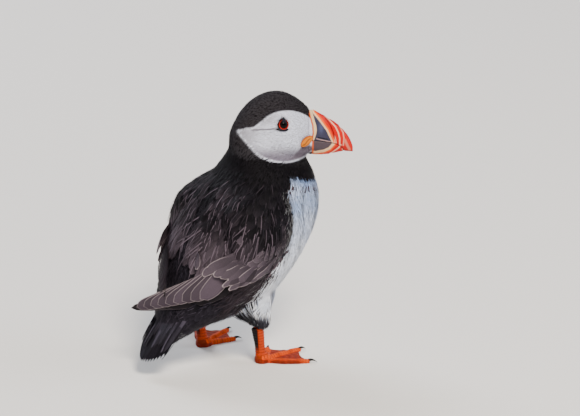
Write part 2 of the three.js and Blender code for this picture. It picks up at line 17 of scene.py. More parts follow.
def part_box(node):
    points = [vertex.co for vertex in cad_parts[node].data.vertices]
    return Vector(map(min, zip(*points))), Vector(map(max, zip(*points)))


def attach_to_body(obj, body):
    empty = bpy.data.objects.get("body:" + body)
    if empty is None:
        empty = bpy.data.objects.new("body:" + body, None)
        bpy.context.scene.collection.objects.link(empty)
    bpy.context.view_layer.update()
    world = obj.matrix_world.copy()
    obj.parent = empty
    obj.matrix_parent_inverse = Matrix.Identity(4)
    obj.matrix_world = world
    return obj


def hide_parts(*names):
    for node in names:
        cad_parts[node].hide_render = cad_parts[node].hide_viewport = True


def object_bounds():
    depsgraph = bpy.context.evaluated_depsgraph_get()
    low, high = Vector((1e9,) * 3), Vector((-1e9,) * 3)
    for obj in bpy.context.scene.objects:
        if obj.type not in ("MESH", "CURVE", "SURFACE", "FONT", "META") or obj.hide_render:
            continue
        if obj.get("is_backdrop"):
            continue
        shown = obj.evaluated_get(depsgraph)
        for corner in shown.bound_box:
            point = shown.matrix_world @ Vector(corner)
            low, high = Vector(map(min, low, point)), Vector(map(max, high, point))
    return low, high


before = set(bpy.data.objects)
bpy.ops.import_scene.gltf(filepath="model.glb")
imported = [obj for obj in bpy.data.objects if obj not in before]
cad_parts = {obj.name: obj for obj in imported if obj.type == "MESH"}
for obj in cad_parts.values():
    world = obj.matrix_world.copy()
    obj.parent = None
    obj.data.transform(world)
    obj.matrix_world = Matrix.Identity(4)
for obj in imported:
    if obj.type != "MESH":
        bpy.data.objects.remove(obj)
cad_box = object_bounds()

MM = 0.001
print("solids:", len(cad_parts), "nodes, box", [[round(v, 4) for v in corner] for corner in cad_box])

# %% [markdown]
# ## Small tools
# Four helpers carry the whole script: one turns a hex colour into light, one adds a node, one makes a
# mesh from arrays of points, and one writes a value on each point for a material to read.

# %% Helpers
rng = np.random.default_rng(1758)


def linear(hex_colour):
    """An sRGB hex colour as the linear red, green and blue that Blender mixes."""
    parts = [int(hex_colour[i : i + 2], 16) / 255 for i in (1, 3, 5)]
    return np.array([c / 12.92 if c <= 0.04045 else ((c + 0.055) / 1.055) ** 2.4 for c in parts])


def new_material(name, **sockets):
    """A material with its Principled shader, and the shader's own sockets set."""
    material = bpy.data.materials.new(name)
    material.use_nodes = True
    shader = material.node_tree.nodes["Principled BSDF"]
    for socket, value in sockets.items():
        shader.inputs[socket.replace("_", " ")].default_value = value
    return material, shader


def add(material, kind, inputs, **settings):
    """A node with its settings, each input either linked to another node's output or set."""
    node = material.node_tree.nodes.new(kind)
    for name, value in settings.items():
        setattr(node, name, value)
    for name, value in inputs.items():
        if isinstance(value, bpy.types.NodeSocket):
            material.node_tree.links.new(value, node.inputs[name])
        else:
            node.inputs[name].default_value = value
    return node


def link(material, output, target):
    material.node_tree.links.new(output, target)


def show(name, data):
    """An object of its own in the scene."""
    piece = bpy.data.objects.new(name, data)
    bpy.context.scene.collection.objects.link(piece)
    return piece


def mesh_object(name, points, faces, material):
    """A smooth object from points in metres and faces that all have as many corners."""
    faces = np.asarray(faces, np.int32)
    mesh = bpy.data.meshes.new(name)
    mesh.vertices.add(len(points))
    mesh.vertices.foreach_set("co", np.asarray(points, np.float32).ravel())
    mesh.loops.add(faces.size)
    mesh.loops.foreach_set("vertex_index", faces.ravel())
    mesh.polygons.add(len(faces))
    mesh.polygons.foreach_set("loop_start", np.arange(0, faces.size, faces.shape[1], dtype=np.int32))
    mesh.update(calc_edges=True)
    mesh.shade_smooth()
    mesh.materials.append(material)
    return show(name, mesh)


ATTRIBUTE_FIELDS = {"FLOAT": "value", "FLOAT_VECTOR": "vector", "FLOAT_COLOR": "color"}


def write_points(mesh, name, kind, values):
    """A value on each point of a mesh, for its material to read."""
    layer = mesh.attributes.new(name, kind, "POINT")
    layer.data.foreach_set(ATTRIBUTE_FIELDS[kind], np.asarray(values, np.float32).ravel())


def with_alpha(colours):
    return np.concatenate([colours, np.ones(colours.shape[:-1] + (1,))], -1)


def write_tone(mesh, colours):
    write_points(mesh, "tone", "FLOAT_COLOR", with_alpha(colours))


def unit(vectors):
    return vectors / np.maximum(np.linalg.norm(vectors, axis=-1, keepdims=True), 1e-12)


def smoothstep(low, high, value):
    t = np.clip((value - low) / (high - low), 0, 1)
    return t * t * (3 - 2 * t)


def mix(a, b, amount):
    return a + (b - a) * np.asarray(amount)[..., None]


def attach(piece, slot, *nodes):
    """The piece rides with the body, and the solids that it stands for are hidden. The slot is not used."""
    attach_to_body(piece, "root")
    if nodes:
        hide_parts(*nodes)
    return piece


# %% [markdown]
# ## Camera, floor and light
# A bird is seen best from a little above, through a long lens from a few metres, which keeps its
# proportions true. The studio is a pale floor under three big soft lamps: a warm key high on the left,
# a wide fill from the bird's front and a rim from the back that draws the edge of black feathers.

# %% Camera
AZIMUTH = math.radians(-35)
ELEVATION = math.radians(18)
CAMERA_DISTANCE = 4.5
PICTURE_WIDTH = 0.4524  # metres across the picture, at the bird
AIM = Vector((0.0464, -0.017, 0.1142))  # ahead of the bird, which stands left of the middle

back = Vector(
    (
        math.sin(AZIMUTH) * math.cos(ELEVATION),
        -math.cos(AZIMUTH) * math.cos(ELEVATION),
        math.sin(ELEVATION),
    )
)
camera_data = bpy.data.cameras.new("camera")
camera_data.sensor_width = 36
camera_data.lens = camera_data.sensor_width * CAMERA_DISTANCE / PICTURE_WIDTH
camera_data.clip_end = 50
camera = show("camera", camera_data)
camera.location = AIM + back * CAMERA_DISTANCE
camera.rotation_euler = back.to_track_quat("Z", "Y").to_euler()
bpy.context.scene.camera = camera
print("lens", round(camera_data.lens), "mm")

# %% Floor and lamps
floor_material, floor_shader = new_material("matt white studio paper", Roughness=0.9)
floor_shader.inputs["Base Color"].default_value = (*linear("#e4e1dc"), 1)
grain = add(floor_material, "ShaderNodeTexNoise", {"Scale": 900, "Detail": 3})
bump = add(floor_material, "ShaderNodeBump", {"Height": grain.outputs["Fac"], "Distance": 0.0001})
link(floor_material, bump.outputs["Normal"], floor_shader.inputs["Normal"])
FLOOR_HALF = 12
floor_corners = [(FLOOR_HALF * x, FLOOR_HALF * y, 0) for x, y in ((-1, -1), (1, -1), (1, 1), (-1, 1))]
floor = mesh_object("floor", floor_corners, [(0, 1, 2, 3)], floor_material)
floor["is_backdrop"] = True


def lamp(name, place, size, watts, colour):
    """A square soft light that faces the bird."""
    data = bpy.data.lights.new(name, "AREA")
    data.shape = "SQUARE"
    data.size = size
    data.energy = watts
    data.color = tuple(linear(colour))
    light = show(name, data)
    light.location = place
    light.rotation_euler = (light.location - AIM).to_track_quat("Z", "Y").to_euler()


lamp("key", (-0.5, -1.9, 2.4), 0.9, 145, "#fff5e8")
lamp("fill", (1.9, -1.3, 1.1), 1.6, 28, "#eef3ff")
lamp("rim", (0.1, 2.0, 1.8), 1.2, 55, "#f2f5ff")
world = bpy.data.worlds.new("studio")
world.use_nodes = True
world.node_tree.nodes["Background"].inputs["Color"].default_value = (*linear("#e8ecf2"), 1)
world.node_tree.nodes["Background"].inputs["Strength"].default_value = 0.43
bpy.context.scene.world = world

# %% [markdown]
# ## Two rulers
# Markings and feathers are placed with two rulers, both found from the solids. The bird's ruler has
# its x forward and its z up. The head's turns with the head: its x runs out along the bill. The two
# eyes fix both, because the line between them is square to the head's middle plane.

# %% The bird's and the head's own axes
EYE_IN_HEAD = np.array([12.42, 0, 7.14])  # millimetres from the head's centre to between the eyes
HEAD_IN_BIRD = np.array([25.0, 0, 180.0])
SIGNS = {"left": 1, "right": -1}  # the way to each side of the bird


def middle_of(node):
    """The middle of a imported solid's box."""
    return np.mean([np.array(corner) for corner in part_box(node)], axis=0)


eyes = {side: middle_of(f"eye_{side}") for side in SIGNS}
across_head = unit((eyes["left"] - eyes["right"]) * np.array([1, 1, 0]))
forward_head = np.cross(across_head, [0, 0, 1])
head_axes = np.array([forward_head, across_head, [0, 0, 1]])
head_centre = (eyes["left"] + eyes["right"]) / 2 - EYE_IN_HEAD * MM @ head_axes
bird_origin = head_centre - HEAD_IN_BIRD * MM


def to_head(points):
    """Places in metres as millimetres along the head's own axes."""
    return (np.asarray(points) - head_centre) @ head_axes.T / MM


def from_head(points):
    return np.asarray(points) * MM @ head_axes + head_centre


def to_bird(points):
    """Places in metres as millimetres from the bird's own origin."""
    return (np.asarray(points) - bird_origin) / MM


def from_bird(points):
    return np.asarray(points) * MM + bird_origin


print("head turned by", round(math.degrees(math.atan2(forward_head[1], forward_head[0]))), "degrees")
print("eyes", [np.round(to_head(place), 2) for place in eyes.values()], "origin", np.round(bird_origin, 5))

# %% [markdown]
# ## The skin under the coat
# A bird's skin is one sheet from bill to toes, while the solids are parted where a person would name
# their parts. A voxel remesh melts the parts into one closed surface and a smooth modifier takes out
# the facets. That surface is the outline of the coat, so the skin is the same mesh moved inward by the
# depth of the feathers: little on the face, more on the breast.

# %% Melt the solids into one surface
def merged(name, nodes, swell):
    """One object made of copies of solids, each swollen a little so that their gaps close."""
    points, corners = [], []
    for node in nodes:
        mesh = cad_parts[node].data
        base = len(points)
        points += [tuple(v.co + v.normal * swell) for v in mesh.vertices]
        corners += [tuple(base + i for i in polygon.vertices) for polygon in mesh.polygons]
    mesh = bpy.data.meshes.new(name)
    mesh.from_pydata(points, [], corners)
    return show(name, mesh)


def melted(name, nodes, voxel, passes, swell):
    """The solids as one smooth mesh: remeshed in cubes of one size, then smoothed by passes."""
    piece = merged(name, nodes, swell)
    remesh = piece.modifiers.new("one skin", "REMESH")
    remesh.mode = "VOXEL"
    remesh.voxel_size = voxel
    smooth = piece.modifiers.new("no facets", "SMOOTH")
    smooth.factor = 0.5
    smooth.iterations = passes
    mesh = bpy.data.meshes.new_from_object(piece.evaluated_get(bpy.context.evaluated_depsgraph_get()))
    mesh.name = name
    bpy.data.objects.remove(piece)
    return mesh


def read_points(mesh):
    points = np.empty(len(mesh.vertices) * 3, np.float32)
    mesh.vertices.foreach_get("co", points)
    return points.reshape(-1, 3).astype(float)


def read_normals(mesh):
    normals = np.empty(len(mesh.vertices) * 3, np.float32)
    mesh.vertex_normals.foreach_get("vector", normals)
    return normals.reshape(-1, 3).astype(float)


class Surface:
    """A mesh that can be asked for its nearest place to a point, and for the normal there."""

    def __init__(self, mesh):
        self.mesh = mesh
        self.points = read_points(mesh)
        self.corners = [tuple(polygon.vertices) for polygon in mesh.polygons]
        self.tree = BVHTree.FromPolygons(self.points.tolist(), self.corners)
        normals = read_normals(mesh)
        first = np.array([corner[:3] for corner in self.corners])
        self.face_normals = unit(normals[first].mean(1))
        self.face_centres = self.points[first].mean(1)

    def nearest(self, points):
        """Places, normals and face numbers on the surface, for points of any shape of array."""
        flat = np.asarray(points).reshape(-1, 3)
        places = np.empty_like(flat)
        numbers = np.empty(len(flat), int)
        find = self.tree.find_nearest
        for i, point in enumerate(flat.tolist()):
            place, _, number, _ = find(point)
            places[i] = place
            numbers[i] = number
        shape = np.asarray(points).shape
        return places.reshape(shape), self.face_normals[numbers].reshape(shape), numbers.reshape(shape[:-1])


FLESH = ["trunk", "neck", "head", "thigh_left", "wing_left_arm", "thigh_right", "wing_right_arm"]
SKIN_VOXEL = 1.15 * MM
outline = melted("outline of the coat", FLESH, SKIN_VOXEL, 34, 0.6 * MM)
print("outline:", len(outline.polygons), "faces")

# %% Sink it by the depth of the coat
FACE_DEPTH = 0.7
BODY_DEPTH = 2.0
FACE_FRONT = np.array([34, 0, -4])  # where the face meets the bill, in the head's millimetres


def coat_depth(points):
    """Millimetres of feather over the skin: least by the bill and most on the body."""
    head = to_head(points)
    away = np.linalg.norm(head - FACE_FRONT, axis=-1)
    return FACE_DEPTH + (BODY_DEPTH - FACE_DEPTH) * smoothstep(12, 75, away)


skin_mesh = outline.copy()
skin_mesh.name = "skin"
outline_points = read_points(outline)
skin_points = outline_points - read_normals(outline) * coat_depth(outline_points)[:, None] * MM
skin_mesh.vertices.foreach_set("co", skin_points.astype(np.float32).ravel())
skin_mesh.update()
skin_mesh.shade_smooth()
skin = show("skin", skin_mesh)
print("skin box", np.round(to_bird(skin_points).min(0)), np.round(to_bird(skin_points).max(0)))

# %% [markdown]
# The unwrap of the skin is where every feather's patch of colour goes later, so it is made first, from
# the skin's own faces.

# %% Unwrap the skin
UV_NAME = "OFBake"
bpy.context.view_layer.objects.active = skin
skin.select_set(True)
skin_mesh.uv_layers.new(name=UV_NAME)
bpy.ops.object.mode_set(mode="EDIT")
bpy.ops.mesh.select_all(action="SELECT")
bpy.ops.uv.smart_project(angle_limit=math.radians(66), island_margin=0.004)
bpy.ops.object.mode_set(mode="OBJECT")
skin.select_set(False)
ground = Surface(skin_mesh)
loop_uv = np.empty(len(skin_mesh.loops) * 2, np.float32)
skin_mesh.uv_layers[UV_NAME].data.foreach_get("uv", loop_uv)
loop_uv = loop_uv.reshape(-1, 2)
face_start = np.array([polygon.loop_start for polygon in skin_mesh.polygons])
face_uv = (loop_uv[face_start] + loop_uv[face_start + 2]) / 2
print("unwrapped", len(face_uv), "faces")

# %% [markdown]
# ## Markings
# One function says what colour the plumage has at a place, and both the skin and every feather ask it.
# A puffin is black above and white below, with a black collar. The face is a pale heart-shaped patch
# from the bill almost to the nape, whitest behind the bill and greyer to the rear, with a fine dark
# crease behind the eye and a smoky patch on the chin.

# %% Named tones
def palette(**hex_colours):
    """Named tones, each as linear light."""
    return {name: linear(colour) for name, colour in hex_colours.items()}


TONES = palette(
    crown="#1a171a",
    black="#020203",
    back="#060508",
    rump="#0b0a10",
    flank="#3a3034",
    fringe="#23222b",
    white="#f0f3fa",
    shade="#86a0cc",
    cheek="#dfe3f2",
    grey_cheek="#9a98a4",
    chin="#6a626e",
    low_cheek="#746e7c",
    crease="#5a535e",
    worn_black="#4a4450",
    covert="#544a53",
    quill="#433a43",
    primary="#231f23",
    tail="#1a181e",
    tail_streak="#3d3944",
)

# Outlines in the side view of the head, x forward and z up in its own millimetres. They are read on
# a head seen from above, so a marking lies lower by this share of its distance from the middle.
SIDE_LEAN = 0.325


def arc(centre, radii, start, end, count=12):
    """Points on part of an ellipse, between two angles in degrees, from forward round to up."""
    turn = np.radians(np.linspace(start, end, count))
    return list(zip(centre[0] + radii[0] * np.cos(turn), centre[1] + radii[1] * np.sin(turn)))


FACE_TOP = arc((16.5, -3), (22, 16), 38, 145)
FACE_TAIL = [(-10, -0.5), (-23.5, -3), (-22, -5.5), (-9.5, -20.5)]
FACE_UNDER = arc((12, -14), (23.5, 15.5), 220, 333)
FACE_PATCH = [(36, 3), *FACE_TOP, *FACE_TAIL, *FACE_UNDER, (36, -19)]
CHIN_PATCH = [(20, -24.5), (27.5, -15.5), (36, -15), (36, -19), (27, -25.5), (15, -28.5)]
CREASE = [(8.5, -1.6), (0, -2.4), (-11, -2.7)]

# The front edge of the dark upper parts on the body's side: each height, and x forward there.
WHITE_EDGE = [
    (30, -44), (45, -27), (49.5, -21), (57.5, -14), (67, -10), (80, -5),
    (91, 6), (103, 13.4), (114, 17.2), (130, 17.6), (140, 19.5), (150, 24),
]
COLLAR_FOOT = (30, 144.5, 17)  # x, height, degrees of rise toward the back


# %% Distances to outlines
def distance_to_line(x, z, line):
    """Distance from each place to a line of straight pieces, in the side view."""
    best = np.full(x.shape, np.inf)
    for (x0, z0), (x1, z1) in zip(line[:-1], line[1:]):
        dx, dz = x1 - x0, z1 - z0
        t = np.clip(((x - x0) * dx + (z - z0) * dz) / (dx * dx + dz * dz), 0, 1)
        best = np.minimum(best, np.hypot(x - x0 - t * dx, z - z0 - t * dz))
    return best


def inside_by(x, z, outline_points):
    """How far inside a closed outline each place is, negative outside it."""
    inside = np.zeros(x.shape, bool)
    ring = list(outline_points) + [outline_points[0]]
    for (x0, z0), (x1, z1) in zip(ring[:-1], ring[1:]):
        crosses = (z0 > z) != (z1 > z)
        at = x0 + (z - z0) * (x1 - x0) / (z1 - z0 if z1 != z0 else 1)
        inside ^= crosses & (x < at)
    return np.where(inside, 1, -1) * distance_to_line(x, z, ring)


def ripple(points, wavelength):
    """A smooth wandering value from -1 to 1 with about this wavelength in millimetres."""
    k = 2 * np.pi / wavelength
    x, y, z = np.moveaxis(points, -1, 0)
    waves = np.sin(k * (x + 0.6 * z)) + np.sin(k * (1.3 * y - 0.7 * x) + 1.7)
    return (waves + np.sin(k * (0.9 * z + 0.8 * y) + 4)) / 3


# %% The colour of the plumage at a place
def whiteness(bird):
    """How far a place is inside the white underparts, in millimetres, negative on the dark parts."""
    x, y, z = np.moveaxis(bird, -1, 0)
    heights, edges = zip(*WHITE_EDGE)
    under = 16 * smoothstep(30, 8, np.abs(y)) * smoothstep(70, 45, z)
    ahead = x - np.interp(z, heights, edges) + under
    foot_x, foot_z, tilt = COLLAR_FOOT
    below = foot_z - math.tan(math.radians(tilt)) * (x - foot_x) - z
    rounded = -np.log(np.exp(-ahead / 4) + np.exp(-np.clip(below, -60, 60) / 2.5)) * 3
    return np.where(np.minimum(ahead, below) < -30, -30, rounded) + 1.2 * ripple(bird, 9)


def plumage(points):
    """Linear colours for places in metres: the same for the skin and for the feathers on it."""
    head, bird = to_head(points), to_bird(points)
    hx, hz = head[..., 0], head[..., 2] - SIDE_LEAN * np.abs(head[..., 1])
    colour = mix(TONES["back"], TONES["crown"], smoothstep(-22, -4, head[..., 2]))
    collar = smoothstep(-12, -26, head[..., 2]) * smoothstep(136, 148, bird[..., 2])
    colour = mix(colour, TONES["black"], collar)
    colour = mix(colour, TONES["rump"], smoothstep(80, 60, bird[..., 2]))
    flank = smoothstep(95, 80, bird[..., 2]) * smoothstep(-36, -22, bird[..., 0])
    flank = flank * smoothstep(56, 68, bird[..., 2])
    colour = mix(colour, TONES["flank"], flank * 0.8)
    # The white is painted blue-grey as shade: patchy, and strongest on the upper breast below the collar.
    painted_blue_shade = np.clip(0.12 + 0.2 * ripple(bird, 23) + 0.75 * smoothstep(80, 135, bird[..., 2]), 0, 1)
    white = mix(TONES["white"], TONES["shade"], painted_blue_shade)
    colour = mix(colour, white, smoothstep(-0.8, 0.8, whiteness(bird)))
    colour = mix(colour, TONES["fringe"], 0.85 * smoothstep(40, 35, bird[..., 2] + 2 * ripple(bird, 7)))
    greyer = np.maximum(smoothstep(0, -20, hx) * 0.85, smoothstep(-2, 9, hz) * smoothstep(14, -2, hx))
    # The lower cheek is darkened: partly its own grey, partly painted shade on the underside of the face.
    greyer = np.maximum(greyer, 0.7 * smoothstep(-18, -27, hz))
    face = mix(TONES["cheek"], TONES["grey_cheek"], greyer)
    face = mix(face, TONES["low_cheek"], 0.95 * smoothstep(-13, -25, hz))
    face = mix(face, TONES["cheek"] * 1.08, smoothstep(1.6, 0.5, inside_by(hx, hz, FACE_PATCH)))
    face = mix(face, TONES["chin"], smoothstep(-1, 1.2, inside_by(hx, hz, CHIN_PATCH)))
    # The crease has no groove in the skin: its dark line is partly the feathers' own grey and partly painted
    # shade of the fold.
    face = mix(face, TONES["crease"], 0.85 * smoothstep(1.0, 0.3, distance_to_line(hx, hz, CREASE)))
    on_face = smoothstep(-0.5, 0.5, inside_by(hx, hz, FACE_PATCH)) * (head[..., 2] > -32)
    return mix(colour, face, on_face)


skin_material, skin_shader = new_material("plucked skin under feathers", Roughness=0.75)
skin_tone = add(skin_material, "ShaderNodeAttribute", {}, attribute_name="tone")
pores = add(skin_material, "ShaderNodeTexNoise", {"Scale": 700, "Detail": 4})
pitted = {0: pores.outputs["Fac"], 1: 0.6, 2: 0.35}
darker = add(skin_material, "ShaderNodeMath", pitted, operation="MULTIPLY_ADD")
skin_colour = add(
    skin_material,
    "ShaderNodeVectorMath",
    {0: skin_tone.outputs["Color"], "Scale": darker.outputs["Value"]},
    operation="SCALE",
)
link(skin_material, skin_colour.outputs["Vector"], skin_shader.inputs["Base Color"])
skin_bump = add(skin_material, "ShaderNodeBump", {"Height": pores.outputs["Fac"], "Distance": 0.0003})
link(skin_material, skin_bump.outputs["Normal"], skin_shader.inputs["Normal"])
skin_mesh.materials.append(skin_material)
write_tone(skin_mesh, plumage(skin_points))
attach(skin, "white_feather", *FLESH)

# %% [markdown]
# ## How the coat lies
# Feathers point away from the bill over the head, turn down the neck and then run along the body to the
# tail. The lie is a field: at each place it blends a direction away from the bill with the direction of
# the body's own axis, and a feather later turns as it follows the skin.

# %% The lie of the coat
BODY_AXIS = [(25, 0, 185), (18, 0, 150), (4, 0, 110), (-20, 0, 72), (-62, 0, 36), (-92, 0, 4)]
BILL_ROOT = np.array([44.0, 0, -5])  # in the head's millimetres


def body_run(points):
    """The way the body's axis runs beside each place, from head to tail."""
    bird = to_bird(points)
    axis = np.array(BODY_AXIS, float)
    middles, runs = (axis[:-1] + axis[1:]) / 2, unit(np.diff(axis, axis=0))
    gaps = np.linalg.norm(bird[..., None, :] - middles, axis=-1)
    weights = np.exp(-((gaps - gaps.min(-1, keepdims=True)) / 9))
    return unit((weights[..., None] * runs).sum(-2))


def lie_of_coat(points):
    """The way a feather rooted at each place points, in the solids' axes."""
    head = to_head(points)
    away = unit(head - BILL_ROOT) @ head_axes
    down = body_run(points)
    to_body = smoothstep(6, -26, head[..., 0]) * smoothstep(40, 10, head[..., 2])
    to_body = np.maximum(to_body, smoothstep(-14, -34, head[..., 2]))
    return unit(mix(away, down, to_body))


def tangent(directions, normals):
    return unit(directions - (directions * normals).sum(-1, keepdims=True) * normals)


# %% [markdown]
# ## Making feathers
# All feathers come from one function. It walks from each root over the skin for the feather's length,
# sets a row of points across every step, and lifts the rows so that the tip stands clear of the skin.
# Two columns of points make a narrow lock of barbs; more columns make a vane with a rounded end.
# Each feather keeps three numbers for its material: how far across and along it a point is, and how
# far in from its edge, all in millimetres.

# %% Roots, spread evenly
def scatter(surface, chance, per_face):
    """Random places on a surface, several to a face, where a chance from 0 to 1 allows them."""
    numbers = np.repeat(np.arange(len(surface.corners)), per_face)
    numbers = numbers[rng.random(len(numbers)) < np.repeat(chance, per_face)]
    corners = np.array([(corner + corner[:1])[:4] for corner in surface.corners])
    a, b = rng.random((2, len(numbers), 1))
    quad = surface.points[corners[numbers]]
    low = quad[:, 0] + (quad[:, 1] - quad[:, 0]) * a
    high = quad[:, 3] + (quad[:, 2] - quad[:, 3]) * a
    return low + (high - low) * b


def spread(points, spacing):
    """Thins a cloud of points until none has a neighbour nearer than the spacing."""
    cells = {}
    kept = []
    for i, (point, cell) in enumerate(zip(points.tolist(), np.floor(points / spacing).astype(int).tolist())):
        x, y, z = cell
        near = (
            other
            for dx in (-1, 0, 1)
            for dy in (-1, 0, 1)
            for dz in (-1, 0, 1)
            for other in cells.get((x + dx, y + dy, z + dz), ())
        )
        if all(math.dist(point, other) >= spacing for other in near):
            cells.setdefault((x, y, z), []).append(point)
            kept.append(i)
    return points[kept]


def rooted(here, per_face, spacing):
    """Roots in the skin, some millimetres apart, where a mask or a chance allows them."""
    return spread(scatter(ground, here.astype(float), per_face), spacing * MM)


def spread_in_rows(points, spacing, run, overlap):
    """Thins a cloud so that neighbours may stand closer side by side than one behind the other."""
    run = unit(np.asarray(run, float))
    squeezed = points - (1 - overlap) * (points @ run)[:, None] * run
    kept = spread(squeezed, spacing)
    return kept + (1 / overlap - 1) * (kept @ run)[:, None] * run


# %% Feathers as grids of points
class Feathers:
    """A batch of feathers with as many rows and columns each, as one array of points."""

    def __init__(self, points, uv_roots, across, along, edge, place):
        self.points = points
        self.uv_roots = uv_roots
        self.marks = np.stack([across, along, edge], -1)
        self.place = place  # the part of each feather that shows


def lock_outline(t):
    """The width of a lock of barbs from root to tip, as a share of its greatest."""
    return np.interp(t, [0, 0.3, 0.7, 1], [0.5, 1, 0.75, 0.08])


def vane_outline(t):
    """The width of a rounded vane from root to tip, as a share of its greatest."""
    return np.minimum(0.35 + 1.6 * t, 1) * np.sqrt(np.clip(1 - np.clip((t - 0.55) / 0.47, 0, 1) ** 2.4, 0, 1))


def grow(surface, roots, lies, length, width, rise, rows, columns, shape=vane_outline, snap=False, curl=0.0):
    """Feathers of given lengths, widths and tip heights in millimetres, laid on the surface."""
    count = len(roots)
    length, width, rise = (np.broadcast_to(value, count) * MM for value in (length, width, rise))
    place, normal, numbers = surface.nearest(roots)
    heading = tangent(lies, normal)
    places, normals, headings = [place], [normal], [heading]
    for _ in range(rows - 1):
        following, normal, _ = surface.nearest(place + heading * (length / (rows - 1))[:, None])
        heading = tangent(following - place, normal)
        place = following
        places.append(place)
        normals.append(normal)
        headings.append(heading)
    places, normals, headings = (np.stack(values, 1) for values in (places, normals, headings))
    t, x = np.linspace(0, 1, rows), np.linspace(-1, 1, columns)
    half = width[:, None] / 2 * shape(t)
    across = np.cross(normals, headings)
    points = places[:, :, None] + (across[:, :, None] * (half[..., None] * x)[..., None])
    lifts = normals[:, :, None]
    if snap:
        points, lifts, _ = surface.nearest(points)
    bend = rng.normal(0, 1, count)[:, None] * curl * length[:, None] * t**2
    points = points + (across * bend[..., None])[:, :, None]
    height = rise[:, None] * (-0.25 + 1.25 * np.sin(np.pi / 2 * t) ** 0.9)
    camber = 0.16 * half[..., None] * (1 - x**2)
    points = points + lifts * (height[..., None] + camber)[..., None]
    shown = places[:, int(0.7 * (rows - 1))]
    side = half[..., None] * x / MM
    along = np.broadcast_to((length[:, None] * t)[..., None] / MM, side.shape)
    worn_from = np.clip(0.6 - t, 0, None)[None, :, None]  # only the outer part of a vane's sides is worn
    to_side = half[..., None] * (1 - np.abs(x)) / MM + 1.6 * worn_from
    to_tip = np.broadcast_to((length[:, None] * (1 - t))[..., None] / MM, side.shape)
    uv_roots = face_uv[numbers] if surface is ground else face_uv[ground.nearest(roots)[2]]
    return Feathers(points, uv_roots, side, along, np.minimum(to_side, to_tip), shown)


PATCH = 0.003  # the side of one feather's patch of colour on the unwrap


def write_uv(mesh, corners):
    """The unwrap of a mesh, with a place for each corner of each face."""
    mesh.uv_layers.new(name=UV_NAME)
    mesh.uv_layers[UV_NAME].data.foreach_set("uv", corners.astype(np.float32).ravel())


def coat_piece(name, feathers, tones, material, patch=PATCH):
    """One object of many feathers. tones holds a colour for each feather or for each of its points."""
    count, rows, columns, _ = feathers.points.shape
    index = np.arange(count * rows * columns).reshape(count, rows, columns)
    first, last = index[:, :-1], index[:, 1:]
    quads = np.stack([first[..., :-1], first[..., 1:], last[..., 1:], last[..., :-1]], -1).reshape(-1, 4)
    piece = mesh_object(name, feathers.points.reshape(-1, 3), quads, material)
    if tones.ndim == 2:
        tones = np.broadcast_to(tones[:, None, None], (count, rows, columns, 3))
    write_tone(piece.data, tones)
    write_points(piece.data, "barb", "FLOAT_VECTOR", feathers.marks)
    u, v = np.meshgrid(np.linspace(-0.5, 0.5, columns), np.linspace(-0.5, 0.5, rows))
    uv = feathers.uv_roots[:, None, None] + patch * np.stack([u, v], -1)
    write_uv(piece.data, uv.reshape(-1, 2)[quads.ravel()])
    print(f"{name}: {count} feathers, {2 * len(quads)} triangles")
    return piece


def varied(colours, amount):
    """Each feather a little lighter or darker than the next."""
    return colours * np.exp(rng.normal(0, amount, colours.shape[:-1]))[..., None]


# %% [markdown]
# A feather is keratin, like a fingernail, split into barbs too fine to see. What the eye gets is a soft
# sheen, a faint comb of lines that slant from the shaft and an edge a little paler where it is worn.
# Real barbs stand about 0.1 mm apart; they are drawn at 0.5 mm so that they show.

# %% The material of body feathers
BARB_SPACING = 0.5 * MM
FEATHER_SHINE = 0.08
BARB_SLANT = 0.8  # how far the barbs sweep forward for each part they go out


def feather_material(name, roughness, edge_width, edge_tone, edge_amount, depth, ruffled=0.28):
    """Barbed keratin whose tone is on the points, with a worn edge of some millimetres."""
    material, shader = new_material(name, Roughness=roughness)
    shader.inputs["Specular IOR Level"].default_value = FEATHER_SHINE
    tone = add(material, "ShaderNodeAttribute", {}, attribute_name="tone")
    barb = add(material, "ShaderNodeAttribute", {}, attribute_name="barb")
    parts = add(material, "ShaderNodeSeparateXYZ", {"Vector": barb.outputs["Vector"]})
    out = add(material, "ShaderNodeMath", {0: parts.outputs["X"]}, operation="ABSOLUTE")
    swept = add(
        material,
        "ShaderNodeMath",
        {0: out.outputs["Value"], 1: -BARB_SLANT, 2: parts.outputs["Y"]},
        operation="MULTIPLY_ADD",
    )
    phase = add(
        material,
        "ShaderNodeMath",
        {0: swept.outputs["Value"], 1: 2 * math.pi * MM / BARB_SPACING},
        operation="MULTIPLY",
    )
    comb = add(material, "ShaderNodeMath", {0: phase.outputs["Value"]}, operation="SINE")
    ruffle = add(material, "ShaderNodeTexNoise", {"Scale": 420, "Detail": 3})
    shade = add(
        material,
        "ShaderNodeMath",
        {0: comb.outputs["Value"], 1: 0.07, 2: ruffle.outputs["Fac"]},
        operation="MULTIPLY_ADD",
    )
    span = {"From Min": 0.25, "From Max": 0.75, "To Min": 1 - ruffled, "To Max": 1 + ruffled}
    level = add(material, "ShaderNodeMapRange", {"Value": shade.outputs["Value"], **span})
    toned = add(
        material,
        "ShaderNodeVectorMath",
        {0: tone.outputs["Color"], "Scale": level.outputs["Result"]},
        operation="SCALE",
    )
    wear = {"From Min": 0.0, "From Max": edge_width, "To Min": edge_amount, "To Max": 0.0}
    worn = add(material, "ShaderNodeMapRange", {"Value": parts.outputs["Z"], **wear})
    colour = add(material, "ShaderNodeMix", {0: worn.outputs["Result"]}, data_type="RGBA")
    link(material, toned.outputs["Vector"], colour.inputs[6])
    colour.inputs[7].default_value = (*linear(edge_tone), 1)
    link(material, colour.outputs[2], shader.inputs["Base Color"])
    relief = {"Height": comb.outputs["Value"], "Distance": depth * MM, "Strength": 0.6}
    bump = add(material, "ShaderNodeBump", relief)
    link(material, bump.outputs["Normal"], shader.inputs["Normal"])
    return material


